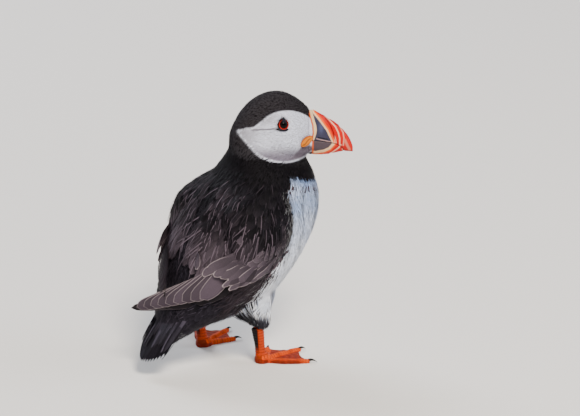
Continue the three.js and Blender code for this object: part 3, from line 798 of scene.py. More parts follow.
velvet = feather_material("velvety head feather, fine keratin barbs", 0.7, 0.15, "#8d8a92", 0.1, 0.03)
downy = feather_material("downy white breast feather, loose keratin barbs", 0.75, 0.2, "#f4f6fa", 0.12, 0.05)
black_name = "black contour feather, melanin-dyed keratin"
glossy_black = feather_material(black_name, 0.5, 0.3, "#4c464f", 0.08, 0.06, 0.5)
FINISHES = (  # shine, and the weight and tint of the sheen
    (velvet, 0.02, 0.006, "#ffffff"),
    (downy, 0.08, 0.1, "#ffffff"),
    (glossy_black, 0.05, 0.006, "#c8d0e0"),
)
for material, shine, weight, tint in FINISHES:
    shader = material.node_tree.nodes["Principled BSDF"]
    shader.inputs["Specular IOR Level"].default_value = shine
    shader.inputs["Sheen Weight"].default_value = weight
    shader.inputs["Sheen Roughness"].default_value = 0.4
    shader.inputs["Sheen Tint"].default_value = (*linear(tint), 1)

# %% [markdown]
# ## The head's velvet
# Head feathers are the shortest on the bird, 2 mm by the bill and 6 mm on the nape, and they lie so
# flat that the head looks sculpted. Each is a pair of narrow locks. None grows within the ring round
# the eye or on the plates above and below it.

# %% Velvet on head and collar
EYE_IN_FACE = (13.3, 19.6, 7.9)  # where the middle of the eye meets the skin, in the head's millimetres
EYE_CLEAR = 4.3


def clear_of_eye(points):
    """Keeps feathers off the eye's ring and off the plates that touch it."""
    head = to_head(points)
    one_side = np.stack([head[..., 0], np.abs(head[..., 1]), head[..., 2]])
    x, y, z = (place - eye for place, eye in zip(one_side, EYE_IN_FACE))
    ring = np.sqrt(x**2 + y**2 + z**2) > EYE_CLEAR
    above = (np.abs(x - 0.2) > 2.2 - 0.5 * (z - 3.5)) | (z < 0) | (z > 6.4)
    below = (np.abs(x + 1) > 5) | (z > 0) | (z < -5.2)
    return ring & above & below


def height_over_collar(points):
    """Millimetres above the foot of the black collar."""
    bird = to_bird(points)
    foot_x, foot_z, tilt = COLLAR_FOOT
    return bird[..., 2] - foot_z + math.tan(math.radians(tilt)) * (bird[..., 0] - foot_x)


def strands(surface, roots, per_root, length, width, rise, rows, apart, fan, curl):
    """Several narrow locks from each root, set a little apart and fanned by some degrees."""
    count = len(roots)
    lies = tangent(lie_of_coat(roots), surface.nearest(roots)[1])
    normals = surface.nearest(roots)[1]
    sides = np.cross(normals, lies)
    place = np.arange(per_root) - (per_root - 1) / 2
    shift = (place[None, :] + rng.normal(0, 0.35, (count, per_root))) * apart * MM
    angles = np.radians(fan) * (place[None, :] / max(per_root, 1) * 2 + rng.normal(0, 0.6, (count, per_root)))
    starts = roots[:, None] + sides[:, None] * shift[..., None]
    slip = rng.normal(0, 0.12, (count, per_root)) * length[:, None] * MM
    starts = starts + lies[:, None] * slip[..., None]
    turned = lies[:, None] * np.cos(angles)[..., None] + sides[:, None] * np.sin(angles)[..., None]
    spreads = np.exp(rng.normal(0, 0.14, (count, per_root)))
    many = (count * per_root, 3)
    return grow(
        surface,
        starts.reshape(many),
        turned.reshape(many),
        (length[:, None] * spreads).ravel(),
        np.repeat(width, per_root),
        (rise[:, None] * spreads).ravel(),
        rows,
        2,
        shape=lock_outline,
        curl=curl,
    )


centres = ground.face_centres
head_places = to_head(centres)
above_collar = height_over_collar(centres)
VELVET_SPACING = 0.95
NECK_SPACING = 1.5


def velvet_tones(hair):
    """The plumage's colour on each point, each feather a little lighter or darker."""
    return plumage(hair.points) * np.exp(rng.normal(0, 0.08, len(hair.points)))[:, None, None, None]


on_head = (above_collar > 12) & (head_places[:, 0] < 36) & clear_of_eye(centres)
for side, sign in SIGNS.items():
    here = on_head & (head_places[:, 1] * sign >= 0)
    roots = rooted(here, 4, VELVET_SPACING)
    roots = roots[clear_of_eye(roots)]
    reach = np.linalg.norm(to_head(roots) - FACE_FRONT, axis=-1)
    size = smoothstep(0, 62, reach)
    hair = strands(ground, roots, 2, 1.9 + 3.4 * size, 0.5 + 0.35 * size, 0.5 + 0.7 * size, 4, 0.5, 9, 0.03)
    attach(coat_piece(f"head_velvet_{side}", hair, velvet_tones(hair), velvet), "grey_feather")

here = (above_collar > -4) & (above_collar <= 13)
roots = rooted(here, 3, NECK_SPACING)
size = smoothstep(14, -2, height_over_collar(roots))
hair = strands(ground, roots, 4, 5 + 2.5 * size, 0.75 + 0.1 * size, 1.2 + 0.5 * size, 4, 0.6, 12, 0.05)
attach(coat_piece("collar_feathers", hair, varied(plumage(hair.place), 0.12), glossy_black), "black_feather")

# %% [markdown]
# ## The body's coat
# Breast and belly are covered in loose white down: several soft strands from each root, longer toward
# the thighs. The back is the reverse, with broad black vanes laid like tiles, each tip lifted over the
# root of the next, and a few loose strands between them that catch the light.

# %% White breast, belly and thighs
DOWN_SPACING = 2.0
ANKLES = {"right": (0, -29), "left": (-16, 29)}  # forward and left in the bird's millimetres
on_body = above_collar <= 1.5


def shadow_streaks(bird):
    """Streaks of painted shadow that run down the breast, each some millimetres wide, from 0 to 1."""
    across, z = 0.8 * bird[..., 0] + 0.6 * np.abs(bird[..., 1]), bird[..., 2]
    fine = np.sin(1.5 * across + 2.2 * np.sin(0.09 * z) + 1.3 * np.sin(0.21 * z + 0.4 * across))
    broad = np.sin(0.7 * across - 0.1 * z + 1.7 * np.sin(0.05 * z))
    return np.clip(0.6 * fine + 0.5 * broad, 0, 1)


body_places = to_bird(centres)
white_by = whiteness(body_places)
for side, sign in SIGNS.items():
    here = on_body & (white_by > -1.5) & (body_places[:, 1] * sign >= 0)
    here &= (body_places[:, 2] > 56) | (np.abs(body_places[:, 1]) < 14)
    roots = rooted(here, 3, DOWN_SPACING)
    low = smoothstep(120, 50, to_bird(roots)[:, 2])
    hair = strands(ground, roots, 5, 9.5 + 4.5 * low, 1.15 + 0.2 * low, 2.2 + 0.4 * low, 5, 0.8, 18, 0.08)
    shown = to_bird(hair.place)
    # Along these streaks, and at random, the locks are darkened toward blue-grey: painted shadow between the
    # locks, most on the upper breast.
    streaked = 0.75 * shadow_streaks(shown) + 0.6 * rng.random(len(shown)) ** 3
    streaked = streaked * (0.3 + 0.7 * smoothstep(70, 125, shown[:, 2])) * (whiteness(shown) > 0)
    shaded = mix(plumage(hair.place), TONES["shade"] * 0.22, np.minimum(streaked, 1))
    attach(coat_piece(f"breast_down_{side}", hair, varied(shaded, 0.1), downy), "white_feather")

# %% Where the folded wings lie
WING_FRONT = [(20, 120), (15, 107), (11, 97), (4, 90), (-12, 84), (-26, 82), (-38, 88)]  # x, height
WING_TOP = [(8, 124), (-4, 121), (-18, 117), (-32, 110), (-42, 101)]


def on_wing(bird):
    """How far a place is inside the outline of the wing's coverts in the side view, in millimetres."""
    side_on = smoothstep(14, 24, np.abs(bird[..., 1])) * 100 - 50
    ring = WING_FRONT + WING_TOP[::-1]
    return np.minimum(inside_by(bird[..., 0], bird[..., 2], ring), side_on)


# The outlines of the folded hands, under which no body feather grows.
HAND_OUTLINES = {
    "right": [
        (-14, 76), (-41, 63), (-64, 57), (-80, 53), (-92, 51),
        (-80, 60), (-66, 72), (-50, 84), (-30, 95),
    ],
    "left": [
        (-14, 76), (-42, 68), (-64, 67), (-77, 68), (-80, 66),
        (-72, 69), (-60, 73), (-50, 77), (-30, 87),
    ],
}
wing_by = on_wing(body_places)
under_hand = np.zeros(len(body_places), bool)
for side, sign in SIGNS.items():
    covered = inside_by(body_places[:, 0], body_places[:, 2], HAND_OUTLINES[side]) > 0
    under_hand |= covered & (body_places[:, 1] * sign > 10)
print("faces under the wings' coverts:", int((wing_by > 0).sum()))

# %% Tips of another tone
def tipped(feathers, tones, tip, amount, start=0.5):
    """A colour for each point: the feather's own tone, worn to another at its tip and along its edges."""
    along, edge = feathers.marks[..., 1], feathers.marks[..., 2]
    worn = np.maximum(smoothstep(start, 1, along / along[:, -1:]), 0.5 * smoothstep(1.4, 0.2, edge))
    return mix(tones[:, None, None], tip, np.reshape(np.clip(amount, 0, 1), (-1, 1, 1)) * worn)


# %% Black back, rump and flanks
TILE_SPACING = 3.6


def dark_plumage(points):
    """The plumage's own tone, kept dark where a black feather ends over the white."""
    return np.minimum(plumage(points), TONES["flank"])


black_by = np.minimum(-white_by, 1.5 - above_collar)
here = (black_by > 0.2) & (wing_by < 2) & ~under_hand
roots = rooted(here, 2, TILE_SPACING)
low = smoothstep(130, 60, to_bird(roots)[:, 2])
sizes = 10 + 5 * low, 4.8 + 1.2 * low, 1.9 + 0.5 * low
tiles = grow(ground, roots, lie_of_coat(roots), *sizes, 6, 5, curl=0.03)
worn = smoothstep(140, 105, to_bird(roots)[:, 2])
tones = tipped(tiles, varied(dark_plumage(tiles.place), 0.2), TONES["worn_black"], 0.03 + 0.2 * worn)
attach(coat_piece("mantle_and_rump_feathers", tiles, tones, glossy_black), "black_feather")

LOOSE_SPACING = 3.2
roots = rooted(here, 2, LOOSE_SPACING)
low = smoothstep(130, 60, to_bird(roots)[:, 2])
hair = strands(ground, roots, 4, 9 + 6 * low, 0.7 + 0.2 * low, 2.3 + 0.4 * low, 4, 1.1, 22, 0.1)
worn = np.repeat(smoothstep(140, 105, to_bird(roots)[:, 2]), 4) * 2 * rng.random(len(hair.points)) ** 2
tones = varied(dark_plumage(hair.place) * 1.2, 0.35)
tones = tipped(hair, tones, TONES["worn_black"], 0.08 + 0.47 * worn, 0.3)
attach(coat_piece("back_strands", hair, tones, glossy_black), "black_feather")

# %% [markdown]
# Between the wing and the white of the belly lies a patch of long brown flank feathers, streaked dark
# and pale.

# %% Flank streaks
FLANK_SPACING = 2.6
FLANK_PATCH = [(-30, 84), (2, 92), (12, 84), (-6, 58), (-34, 56)]
flank_by = inside_by(body_places[:, 0], body_places[:, 2], FLANK_PATCH)
here = (flank_by > 0) & (np.abs(body_places[:, 1]) > 18) & (white_by < 4)
roots = rooted(here, 2, FLANK_SPACING)
length = np.full(len(roots), 15.0)
hair = strands(ground, roots, 4, length, length * 0.085, length * 0.19, 5, 1.2, 12, 0.06)
streaked = mix(TONES["flank"], TONES["back"], rng.random(len(hair.points)) ** 0.5)
tones = tipped(hair, varied(streaked, 0.25), TONES["covert"], 0.5 * rng.random(len(streaked)), 0.4)
attach(coat_piece("flank_streaks", hair, tones, glossy_black), "brown_feather")

# %% [markdown]
# Where the shanks come out of the thighs the down ends in a skirt. Its locks hang free of the skin and
# draw together round the ankle, white above and dark grey at the tips, darkest at the rear.

# %% Skirts round the ankles
SKIRT_SPACING, SKIRT_LOCKS = 1.6, 4


def hang(roots, tips, outward, bulge, width, rows):
    """Locks that hang through the air from root to tip, bulging outward by millimetres on the way."""
    t, x = np.linspace(0, 1, rows), np.array([-1.0, 1.0])
    run = tips - roots
    spine = roots[:, None] + run[:, None] * t[None, :, None]
    spine = spine + outward[:, None] * (bulge * MM * np.sin(np.pi * t))[None, :, None]
    across = unit(np.cross(outward, run))
    half = width[:, None] * MM / 2 * lock_outline(t)
    points = spine[:, :, None] + across[:, None, None] * (half[..., None] * x)[..., None]
    length = np.linalg.norm(run, axis=-1)[:, None] / MM
    side = half[..., None] * x / MM
    along = np.broadcast_to((length * t)[..., None], side.shape)
    edge = np.broadcast_to((half / MM)[..., None], side.shape) * 0.5
    uv_roots = face_uv[ground.nearest(roots)[2]]
    return Feathers(points, uv_roots, side, along, edge, spine[:, int(0.7 * (rows - 1))])


for side, (ankle_x, ankle_y) in ANKLES.items():
    away = body_places[:, :2] - np.array([ankle_x, ankle_y])
    here = (body_places[:, 2] < 60) & (np.linalg.norm(away * [0.75, 1], axis=-1) < 19) & (away[:, 0] > -27)
    roots = rooted(here, 3, SKIRT_SPACING)
    roots = np.repeat(roots, SKIRT_LOCKS, axis=0) + rng.normal(0, 0.6, (len(roots) * SKIRT_LOCKS, 3)) * MM
    start = to_bird(roots)
    away = start[:, :2] - np.array([ankle_x, ankle_y])
    far = np.linalg.norm(away, axis=-1)
    gathered = (4.9 + 0.18 * np.clip(far - 12, 0, 20)) / np.maximum(far, 1)
    shrink = np.clip(gathered, 0, 1.1) * rng.uniform(0.9, 1.15, len(far))
    tip = np.column_stack([away * shrink[:, None] + [ankle_x, ankle_y], np.zeros(len(far))])
    rear = smoothstep(-2, -16, away[:, 0])
    lowest = rng.uniform(27.5, 34, len(far)) + 3 * rear
    tip[:, 2] = np.maximum(lowest, start[:, 2] - rng.uniform(14, 21, len(far)))
    kept = start[:, 2] - tip[:, 2] > 4
    start, tip, roots, rear = start[kept], tip[kept], roots[kept], rear[kept]
    partly = ((start[:, 2] - tip[:, 2]) / np.maximum(start[:, 2] - 32, 1))[:, None]
    tip[:, :2] = start[:, :2] + (tip[:, :2] - start[:, :2]) * np.clip(partly, 0, 1)
    outward = unit(np.column_stack([start[:, :2] - [ankle_x, ankle_y], np.full(len(start), -4.0)]))
    locks = hang(roots, from_bird(tip), outward, 2.0, rng.uniform(0.8, 1.4, len(roots)), 6)
    heights = to_bird(locks.points)[..., 2]
    dark = smoothstep(44.5, 35.5, heights - (3 * rear + rng.normal(0, 3, len(rear)))[:, None, None])
    white = mix(TONES["white"], TONES["shade"] * 0.6, rng.random(len(rear)) ** 2 * 0.8)
    black = (0.3 + 0.7 * rear) * rng.random(len(rear)) > 0.62
    white = np.where(black[:, None], TONES["fringe"], white)
    tones = mix(varied(white, 0.08)[:, None, None], TONES["fringe"], dark)
    attach(coat_piece(f"ankle_skirt_{side}", locks, tones, downy), "grey_feather")

# %% [markdown]
# ## Wings
# A folded wing is tiled from the front: small coverts on the leading edge, longer ones behind, then a
# row of large ones with worn pale fringes that hides the quills' roots. Scapulars from the shoulder
# fall over the top. All coverts point the way the folded hand does.

# %% The material of wing feathers
wing_brown = feather_material("brown-black covert, worn keratin", 0.55, 0.5, "#91868c", 0.3, 0.08, 0.55)
quill_name = "brown flight feather, worn keratin with a pale fringe"
wing_quill = feather_material(quill_name, 0.55, 0.6, "#bcaeb1", 0.75, 0.1, 0.45)

# %% Coverts
COVERT_SPACING, COVERT_OVERLAP = 4.4, 0.5
STRAND_SPACING = 4.2
SHOULDER_RUN, ELBOW_RUN = np.array([-0.72, 0, -0.69]), np.array([-0.93, 0, -0.37])


def wing_run(points):
    """Coverts hang steeply at the shoulder and turn level toward the rear."""
    return mix(SHOULDER_RUN, ELBOW_RUN, smoothstep(14, -20, to_bird(points)[..., 0]))


def wing_tone(points):
    """Coverts: black-brown at the shoulder, browner and paler to the rear and below."""
    bird = to_bird(points)
    worn = smoothstep(24, -40, bird[..., 0]) * smoothstep(126, 92, bird[..., 2])
    return mix(TONES["back"] * 1.6, TONES["covert"], 0.06 + 0.8 * worn)


here = (wing_by > -2) & (white_by < -1.5)
for side, sign in SIGNS.items():
    chance = (here & (body_places[:, 1] * sign > 0)).astype(float)
    roots = spread_in_rows(scatter(ground, chance, 2), COVERT_SPACING * MM, ELBOW_RUN, COVERT_OVERLAP)
    run = smoothstep(20, -42, to_bird(roots)[:, 0])
    lies = wing_run(roots) + rng.normal(0, 0.05, roots.shape)
    length = (13 + 11 * run) * (1 - 0.45 * smoothstep(93, 86, to_bird(roots)[:, 2]))
    tiles = grow(ground, roots, lies, length, 6 + 2.5 * run, 2.2 + 1.3 * run, 9, 7, curl=0.03)
    worn = (0.15 + 0.5 * run) * 1.6 * rng.random(len(run))
    tones = tipped(tiles, varied(wing_tone(tiles.place), 0.35), TONES["covert"] * 1.6, worn, 0.6)
    attach(coat_piece(f"wing_coverts_{side}", tiles, tones, wing_brown), "brown_feather")
    front = smoothstep(-30, 0, to_bird(ground.face_centres)[:, 0])
    roots = rooted(chance * (0.04 + 0.6 * front), 2, STRAND_SPACING)
    run = smoothstep(20, -42, to_bird(roots)[:, 0])
    lies = wing_run(roots) + rng.normal(0, 0.12, roots.shape)
    rise = 2.6 + 0.9 * run
    spare = grow(ground, roots, lies, 9 + 8 * run, 1.3 + 0.5 * run, rise, 5, 3, shape=lock_outline, curl=0.1)
    worn = (0.3 + 0.5 * run) * 2 * rng.random(len(run)) ** 2
    tones = tipped(spare, varied(wing_tone(spare.place), 0.4), TONES["covert"] * 1.7, worn, 0.4)
    attach(coat_piece(f"wing_strands_{side}", spare, tones, wing_brown), "brown_feather")

# %% [markdown]
# The scapulars are the long shoulder feathers that lie over the top of the folded wing. They are black
# with worn brown-grey edges and their tips hang separately over the coverts.

# %% Scapulars
SCAPULAR_SPACING, SCAPULAR_STRAND_SPACING = 5.2, 4.4
SCAPULAR_RUN = np.array([-0.6, 0, -0.8])
SCAPULAR_PATCH = [(12, 148), (-10, 148), (-30, 140), (-45, 122), (-52, 104), (-40, 108), (-20, 115), (4, 122)]


def scapular_tone(points):
    """Scapulars: black on the back, browner where they end over the coverts."""
    bird = to_bird(points)
    browner = smoothstep(-12, -40, bird[..., 0]) * smoothstep(119, 98, bird[..., 2])
    return mix(dark_plumage(points), TONES["covert"], 0.5 * browner)


by_patch = inside_by(body_places[:, 0], body_places[:, 2], SCAPULAR_PATCH)
here = (by_patch > -1) & (np.abs(body_places[:, 1]) > 7) & (white_by < -6)
roots = rooted(here, 2, SCAPULAR_SPACING)
drop = smoothstep(148, 110, to_bird(roots)[:, 2])
lies = SCAPULAR_RUN + rng.normal(0, 0.07, roots.shape)
tiles = grow(ground, roots, lies, 18 + 7 * drop, 6.5 + 1.5 * drop, 2.6 + 1.3 * drop, 9, 5, curl=0.04)
rear = smoothstep(6, -24, to_bird(roots)[:, 0])
worn = (0.05 + 0.2 * rear) * 1.8 * rng.random(len(rear)) ** 1.5
tones = tipped(tiles, varied(scapular_tone(tiles.place), 0.3), TONES["covert"], worn, 0.5)
attach(coat_piece("scapulars", tiles, tones, glossy_black), "black_feather")
roots = rooted(here, 2, SCAPULAR_STRAND_SPACING)
length = 16 + 8 * smoothstep(148, 110, to_bird(roots)[:, 2])
hair = strands(ground, roots, 3, length, length * 0.06, length * 0.2, 6, 1.3, 18, 0.1)
rear = np.repeat(smoothstep(6, -24, to_bird(roots)[:, 0]), 3)
worn = (0.1 + 0.5 * rear) * 2.5 * rng.random(len(rear)) ** 3
tones = tipped(hair, varied(scapular_tone(hair.place) * 1.2, 0.4), TONES["covert"] * 1.8, worn, 0.35)
attach(coat_piece("scapular_strands", hair, tones, glossy_black), "black_feather")

# %% [markdown]
# ## Quills
# The flight and tail feathers are stiff, so each is laid singly between a root and a tip in the air,
# not over skin. A quill has a shaft that runs down its middle, a slightly cambered vane on each side,
# and a thickness, because its edge can be seen.

# %% A quill
QUILL_THICKNESS = 0.35


def through(points):
    """A smooth curve through points in millimetres, asked by a share of its length from 0 to 1."""
    points = np.array(points, float)
    padded = np.concatenate([[2 * points[0] - points[1]], points, [2 * points[-1] - points[-2]]])

    def at(u):
        s = np.clip(np.asarray(u, float), 0, 1) * (len(points) - 1)
        i = np.minimum(s.astype(int), len(points) - 2)
        t = (s - i)[..., None]
        a, b, c, d = (padded[i + k] for k in range(4))
        bend, twist = 2 * a - 5 * b + 4 * c - d, 3 * b - a - 3 * c + d
        return 0.5 * (2 * b + (c - a) * t + bend * t**2 + twist * t**3)

    return at


def quill_outline(t, pointed):
    """The half width of a flight feather as a share of its greatest, round-ended or pointed."""
    taper = np.clip((t - (0.6 - 0.35 * pointed)) / (0.4 + 0.35 * pointed), 0, 1)
    return np.minimum(0.2 + 1.9 * t, 1) * np.sqrt(np.clip(1 - taper ** (2.6 - 0.9 * pointed), 0, 1))


def straight(roots, tips, faces, bows, rows):
    """Spines from roots to tips in millimetres of the bird, bowed sideways and a little outward."""
    roots, tips, faces = (np.asarray(values, float)[:, None] for values in (roots, tips, faces))
    t = np.linspace(0, 1, rows)[None, :, None]
    run = tips - roots
    arch = 4 * t * (1 - t)
    spines = roots + run * t + unit(np.cross(faces, run)) * np.reshape(bows, (-1, 1, 1)) * arch
    return spines + faces * 0.03 * np.linalg.norm(run, axis=-1, keepdims=True) * arch


def quills(name, spines, faces, widths, pointed, tones, material, columns=9):
    """Stiff feathers along spines in millimetres of the bird, with the way that each one faces."""
    count, rows = spines.shape[:2]
    t = np.linspace(0, 1, rows)[None, :, None]
    along = unit(np.gradient(spines, axis=1))
    face = unit(faces - (faces * along).sum(-1, keepdims=True) * along)
    side = np.cross(face, along)
    x = np.linspace(-1, 1, columns)
    widths = np.broadcast_to(widths, count)[:, None, None]
    half = widths / 2 * quill_outline(t[..., 0], pointed)[..., None] * np.ones(columns)
    shaft = 0.13 * np.exp(-((x * 6) ** 2)) * (1 - 0.6 * t)
    top = 0.03 * half * (1 - x**2) + shaft
    under = top - QUILL_THICKNESS * (1 - np.abs(x)) - 0.05
    sheets = [
        spines[:, :, None] + side[:, :, None] * (half * x)[..., None] + face[:, :, None] * height[..., None]
        for height in (top, under)
    ]
    ring = np.concatenate([sheets[0], sheets[1][:, :, ::-1]], 2)
    lengths = np.linalg.norm(spines[:, -1] - spines[:, 0], axis=-1)[:, None, None]
    out = np.concatenate([half * x, (half * x)[:, :, ::-1]], 2)
    run_out = np.broadcast_to(lengths * t, out.shape)
    edge = np.concatenate([half * (1 - np.abs(x)) + 1.6 * np.clip(0.5 - t, 0, None)] * 2, 2)
    edge = np.minimum(edge, np.broadcast_to(lengths * (1 - t) * 0.8, out.shape))
    piece = ring_piece(name, from_bird(ring), np.stack([out, run_out, edge], -1), tones, material)
    print(f"{name}: {count} quills")
    return piece


def ring_piece(name, rings, marks, tones, material):
    """One object of many closed loops of points, each feather with its own rectangle of the unwrap."""
    count, rows, around, _ = rings.shape
    index = np.arange(count * rows * around).reshape(count, rows, around)
    after = np.roll(index, -1, axis=2)
    quads = np.stack([index[:, :-1], after[:, :-1], after[:, 1:], index[:, 1:]], -1)
    piece = mesh_object(name, rings.reshape(-1, 3), quads.reshape(-1, 4), material)
    if tones.ndim == 2:
        tones = np.broadcast_to(tones[:, None, None], rings.shape)
    write_tone(piece.data, tones)
    write_points(piece.data, "barb", "FLOAT_VECTOR", marks)
    tall = math.ceil(math.sqrt(count))
    cell = np.array([(i % tall, i // tall) for i in range(count)], float) / tall
    u = (np.arange(around + 1) / around)[None, None, :] * np.ones((count, rows - 1, 1))
    v = np.linspace(0, 1, rows)
    corner_u = np.stack([u[..., :-1], u[..., 1:], u[..., 1:], u[..., :-1]], -1)
    low, high = (np.broadcast_to(edge[:, None], (rows - 1, around)) for edge in (v[:-1], v[1:]))
    corner_v = np.broadcast_to(np.stack([low, low, high, high], -1), corner_u.shape)
    uv = cell[:, None, None, None] + np.stack([corner_u, corner_v], -1) * 0.94 / tall
    write_uv(piece.data, uv)
    return piece


# %% [markdown]
# The folded hand is a curved blade, so its quills are placed between a lower and an upper edge. Their
# tips step along the lower edge toward the wing's point, and the innermost feather lies on top.

# %% Secondaries and primaries
HANDS = {
    "right": {
        "sign": -1,
        "lower": [(-12, -46, 74), (-41, -39, 61), (-64, -21, 55), (-81, -2, 51), (-94, 15, 49)],
        "upper": [(-30, -38, 100), (-50, -33, 88), (-66, -20, 76), (-81, -3, 63), (-94, 15, 52)],
    },
    "left": {
        "sign": 1,
        "lower": [(-12, 46, 74), (-42, 41, 66), (-64, 20, 65), (-77, 3, 67), (-81, -10, 64)],
        "upper": [(-30, 37, 102), (-50, 24, 96), (-62, 7, 91), (-74, -8, 82), (-82, -14, 66)],
    },
}
SECONDARY_TIPS = np.linspace(0.4, 0.93, 9)
PRIMARY_TIPS = np.linspace(0.66, 1.0, 8)


def hand_place(hand, u, v):
    """A place on the folded hand: u from its front to its point, v from its lower edge to its upper."""
    low, high = through(hand["lower"])(u), through(hand["upper"])(u)
    return low + (high - low) * np.asarray(v, float)[..., None]


def hand_face(hand, u):
    """The way the folded hand faces, away from the body."""
    u = np.clip(u, 0, 1)
    ahead = hand_place(hand, np.minimum(u + 0.03, 1), np.full_like(u, 0.5))
    behind = hand_place(hand, np.minimum(u + 0.03, 1) - 0.06, np.full_like(u, 0.5))
    up = hand_place(hand, u, np.ones_like(u)) - hand_place(hand, u, np.zeros_like(u))
    return unit(np.cross(ahead - behind, up)) * hand["sign"]


def over_hand(hand, tips_at, reach, root_heights, tip_heights, layers, dip, rows=14):
    """Spines that follow the folded hand, each tip at its share of the way along, in layers outward."""
    t = np.linspace(0, 1, rows)[None, :]
    u = tips_at[:, None] - reach * (1 - t)
    v = root_heights[:, None] + (tip_heights - root_heights)[:, None] * t**1.3
    faces = hand_face(hand, u)
    rise = layers[:, None] - dip * (1 - t) ** 2
    return hand_place(hand, u, v) + faces * rise[..., None], faces


# The left hand's quills are painted darker, as shade, and take the black finish with its faint edges in place
# of pale fringes.
HAND_PAINTED_SHADE = {"right": 1.0, "left": 0.35}
HAND_FINISHES = {"right": wing_quill, "left": glossy_black}
for side, hand in HANDS.items():
    count = len(SECONDARY_TIPS)
    levels = np.linspace(1.0, 0.85, count), np.linspace(0.3, 0.52, count)
    spines, faces = over_hand(hand, SECONDARY_TIPS, 0.42, *levels, np.linspace(4.1, 0.6, count), 1.2)
    tones = varied(np.broadcast_to(TONES["quill"] * HAND_PAINTED_SHADE[side], (count, 3)), 0.15)
    widths = np.linspace(14.5, 11, count)
    piece = quills(f"secondaries_{side}", spines, faces, widths, 0.0, tones, HAND_FINISHES[side])
    attach(piece, "brown_feather", f"wing_{side}_secondaries")
    count = len(PRIMARY_TIPS)
    levels = np.full(count, 0.3), np.linspace(0.1, 0.3, count)
    spines, faces = over_hand(hand, PRIMARY_TIPS, 0.6, *levels, np.linspace(-0.2, -2.4, count), 0)
    tones = varied(np.broadcast_to(TONES["primary"] * HAND_PAINTED_SHADE[side], (count, 3)), 0.08)
    piece = quills(f"primaries_{side}", spines, faces, 9.5, 0.6, tones, wing_brown)
    attach(piece, "brown_feather", f"wing_{side}_primaries")

# %% [markdown]
# Two rows of large coverts hide the roots of the quills. The rear row is broad and worn pale at the
# ends; the front row, below the elbow, is longer and narrower.

# %% Greater coverts
COVERT_ROWS = {
    "elbow": {
        "roots": [(-22, -53, 92), (-8, -53, 92), (8, -49, 95)],
        "tips": [(-47, -40, 73), (-34, -46, 73.5), (-16, -48, 80)],
        "count": 10,
        "width": 6.5,
    },
    "greater": {
        "roots": [(-36, -33, 103), (-33, -43, 100), (-24, -50, 94), (-10, -53, 89)],
        "tips": [(-60, -12, 90), (-57, -28, 85), (-47, -41, 79), (-33, -47, 75)],
        "count": 10,
        "width": 8.5,
    },
}
wing_form = {
    side: Surface(
        melted(
            f"outline of the {side} wing",
            [f"wing_{side}_{part}" for part in ("arm", "secondaries", "primaries")],
            0.9 * MM,
            12,
            0.3 * MM,
        )
    )
    for side in SIGNS
}
for height, (name, row) in enumerate(COVERT_ROWS.items()):
    for side, sign in SIGNS.items():
        u = np.linspace(1, 0, row["count"])
        flip = np.array([1, -sign, 1])
        roots, tips = (from_bird(through(row[end])(u) * flip) for end in ("roots", "tips"))
        lengths = np.linalg.norm(tips - roots, axis=-1) / MM * rng.uniform(0.85, 1.02, row["count"])
        widths = row["width"] * rng.uniform(0.85, 1.15, row["count"])
        lies = unit(tips - roots) + rng.normal(0, 0.07, roots.shape)
        rise = 2.4 + 0.3 * height + np.linspace(0, 0.7, row["count"])
        tiles = grow(wing_form[side], roots, lies, lengths, widths, rise, 12, 7, curl=0.04)
        tones = varied(mix(TONES["covert"], TONES["quill"], rng.random(len(roots)) * 1.2), 0.2)
        tones = tipped(tiles, tones * 0.65, TONES["covert"] * 1.5, 0.6 * rng.random(len(roots)), 0.35)
        attach(coat_piece(f"{name}_coverts_{side}", tiles, tones, wing_quill, 0.006), "brown_feather")

# %% [markdown]
# ## Tail
# A puffin's tail is short, with sixteen feathers. The middle pair lies on top and is the longest.

# %% Tail fan
TAIL_ROOT, TAIL_TIP = np.array([-53.0, -1, 56]), np.array([-95.0, -5, 12])
TAIL_FEATHERS = 16
off = np.linspace(-1, 1, TAIL_FEATHERS)[:, None]
along_tail = unit(TAIL_TIP - TAIL_ROOT)
tail_up = -unit(np.cross(along_tail, [0, 1, 0]))
lift = tail_up * (1.9 - 3.4 * np.abs(off))
roots = TAIL_ROOT + np.array([0, 15, 0]) * off + lift
tips = TAIL_TIP + np.array([0, 16, 0]) * off - along_tail * 12 * off**2 + lift
tones = varied(np.broadcast_to(TONES["tail"], roots.shape), 0.15)
faces = np.broadcast_to(tail_up, roots.shape)
spines = straight(roots, tips, faces, 2 * off[:, 0], 14)
piece = quills("tail_feathers", spines, faces[:, None], 9, 0.8, tones, glossy_black)
attach(piece, "black_feather", "tail")

# %% [markdown]
# Long soft coverts, above and below, hide most of the tail's length. They are dark blue-grey and
# streaked, with hair-like edges.

# %% Tail coverts
TAIL_COVERTS = 260
off = rng.uniform(-1.12, 1.12, (TAIL_COVERTS, 1))
above = np.where(rng.random((TAIL_COVERTS, 1)) < 0.5, 1.0, -1.0)
start, reach = rng.uniform(0.0, 0.35, (TAIL_COVERTS, 1)), rng.uniform(0.3, 0.52, (TAIL_COVERTS, 1))
heights = above * (4.6 - 2.6 * off**2) * (1 - 0.5 * start)
span = TAIL_TIP - TAIL_ROOT
roots = TAIL_ROOT + span * start + np.array([0, 15.5, 0]) * off + tail_up * heights
ends = start + reach
tips = TAIL_TIP * ends + TAIL_ROOT * (1 - ends) + np.array([0, 16.5, 0]) * off * (1 - 0.08 * ends)
tips = tips + tail_up * above * (3.9 - 2.2 * off**2) * (1 - 0.3 * ends)
faces = unit(tail_up * above + np.array([0, 0.9, 0]) * off)
tones = varied(mix(TONES["tail"], TONES["tail_streak"], rng.random(TAIL_COVERTS) ** 2), 0.2)
spines = straight(roots, tips, faces, np.full(TAIL_COVERTS, 0.6), 9)
piece = quills("tail_coverts", spines, faces[:, None], 3.6, 1.0, tones, glossy_black, columns=5)
attach(piece, "black_feather")

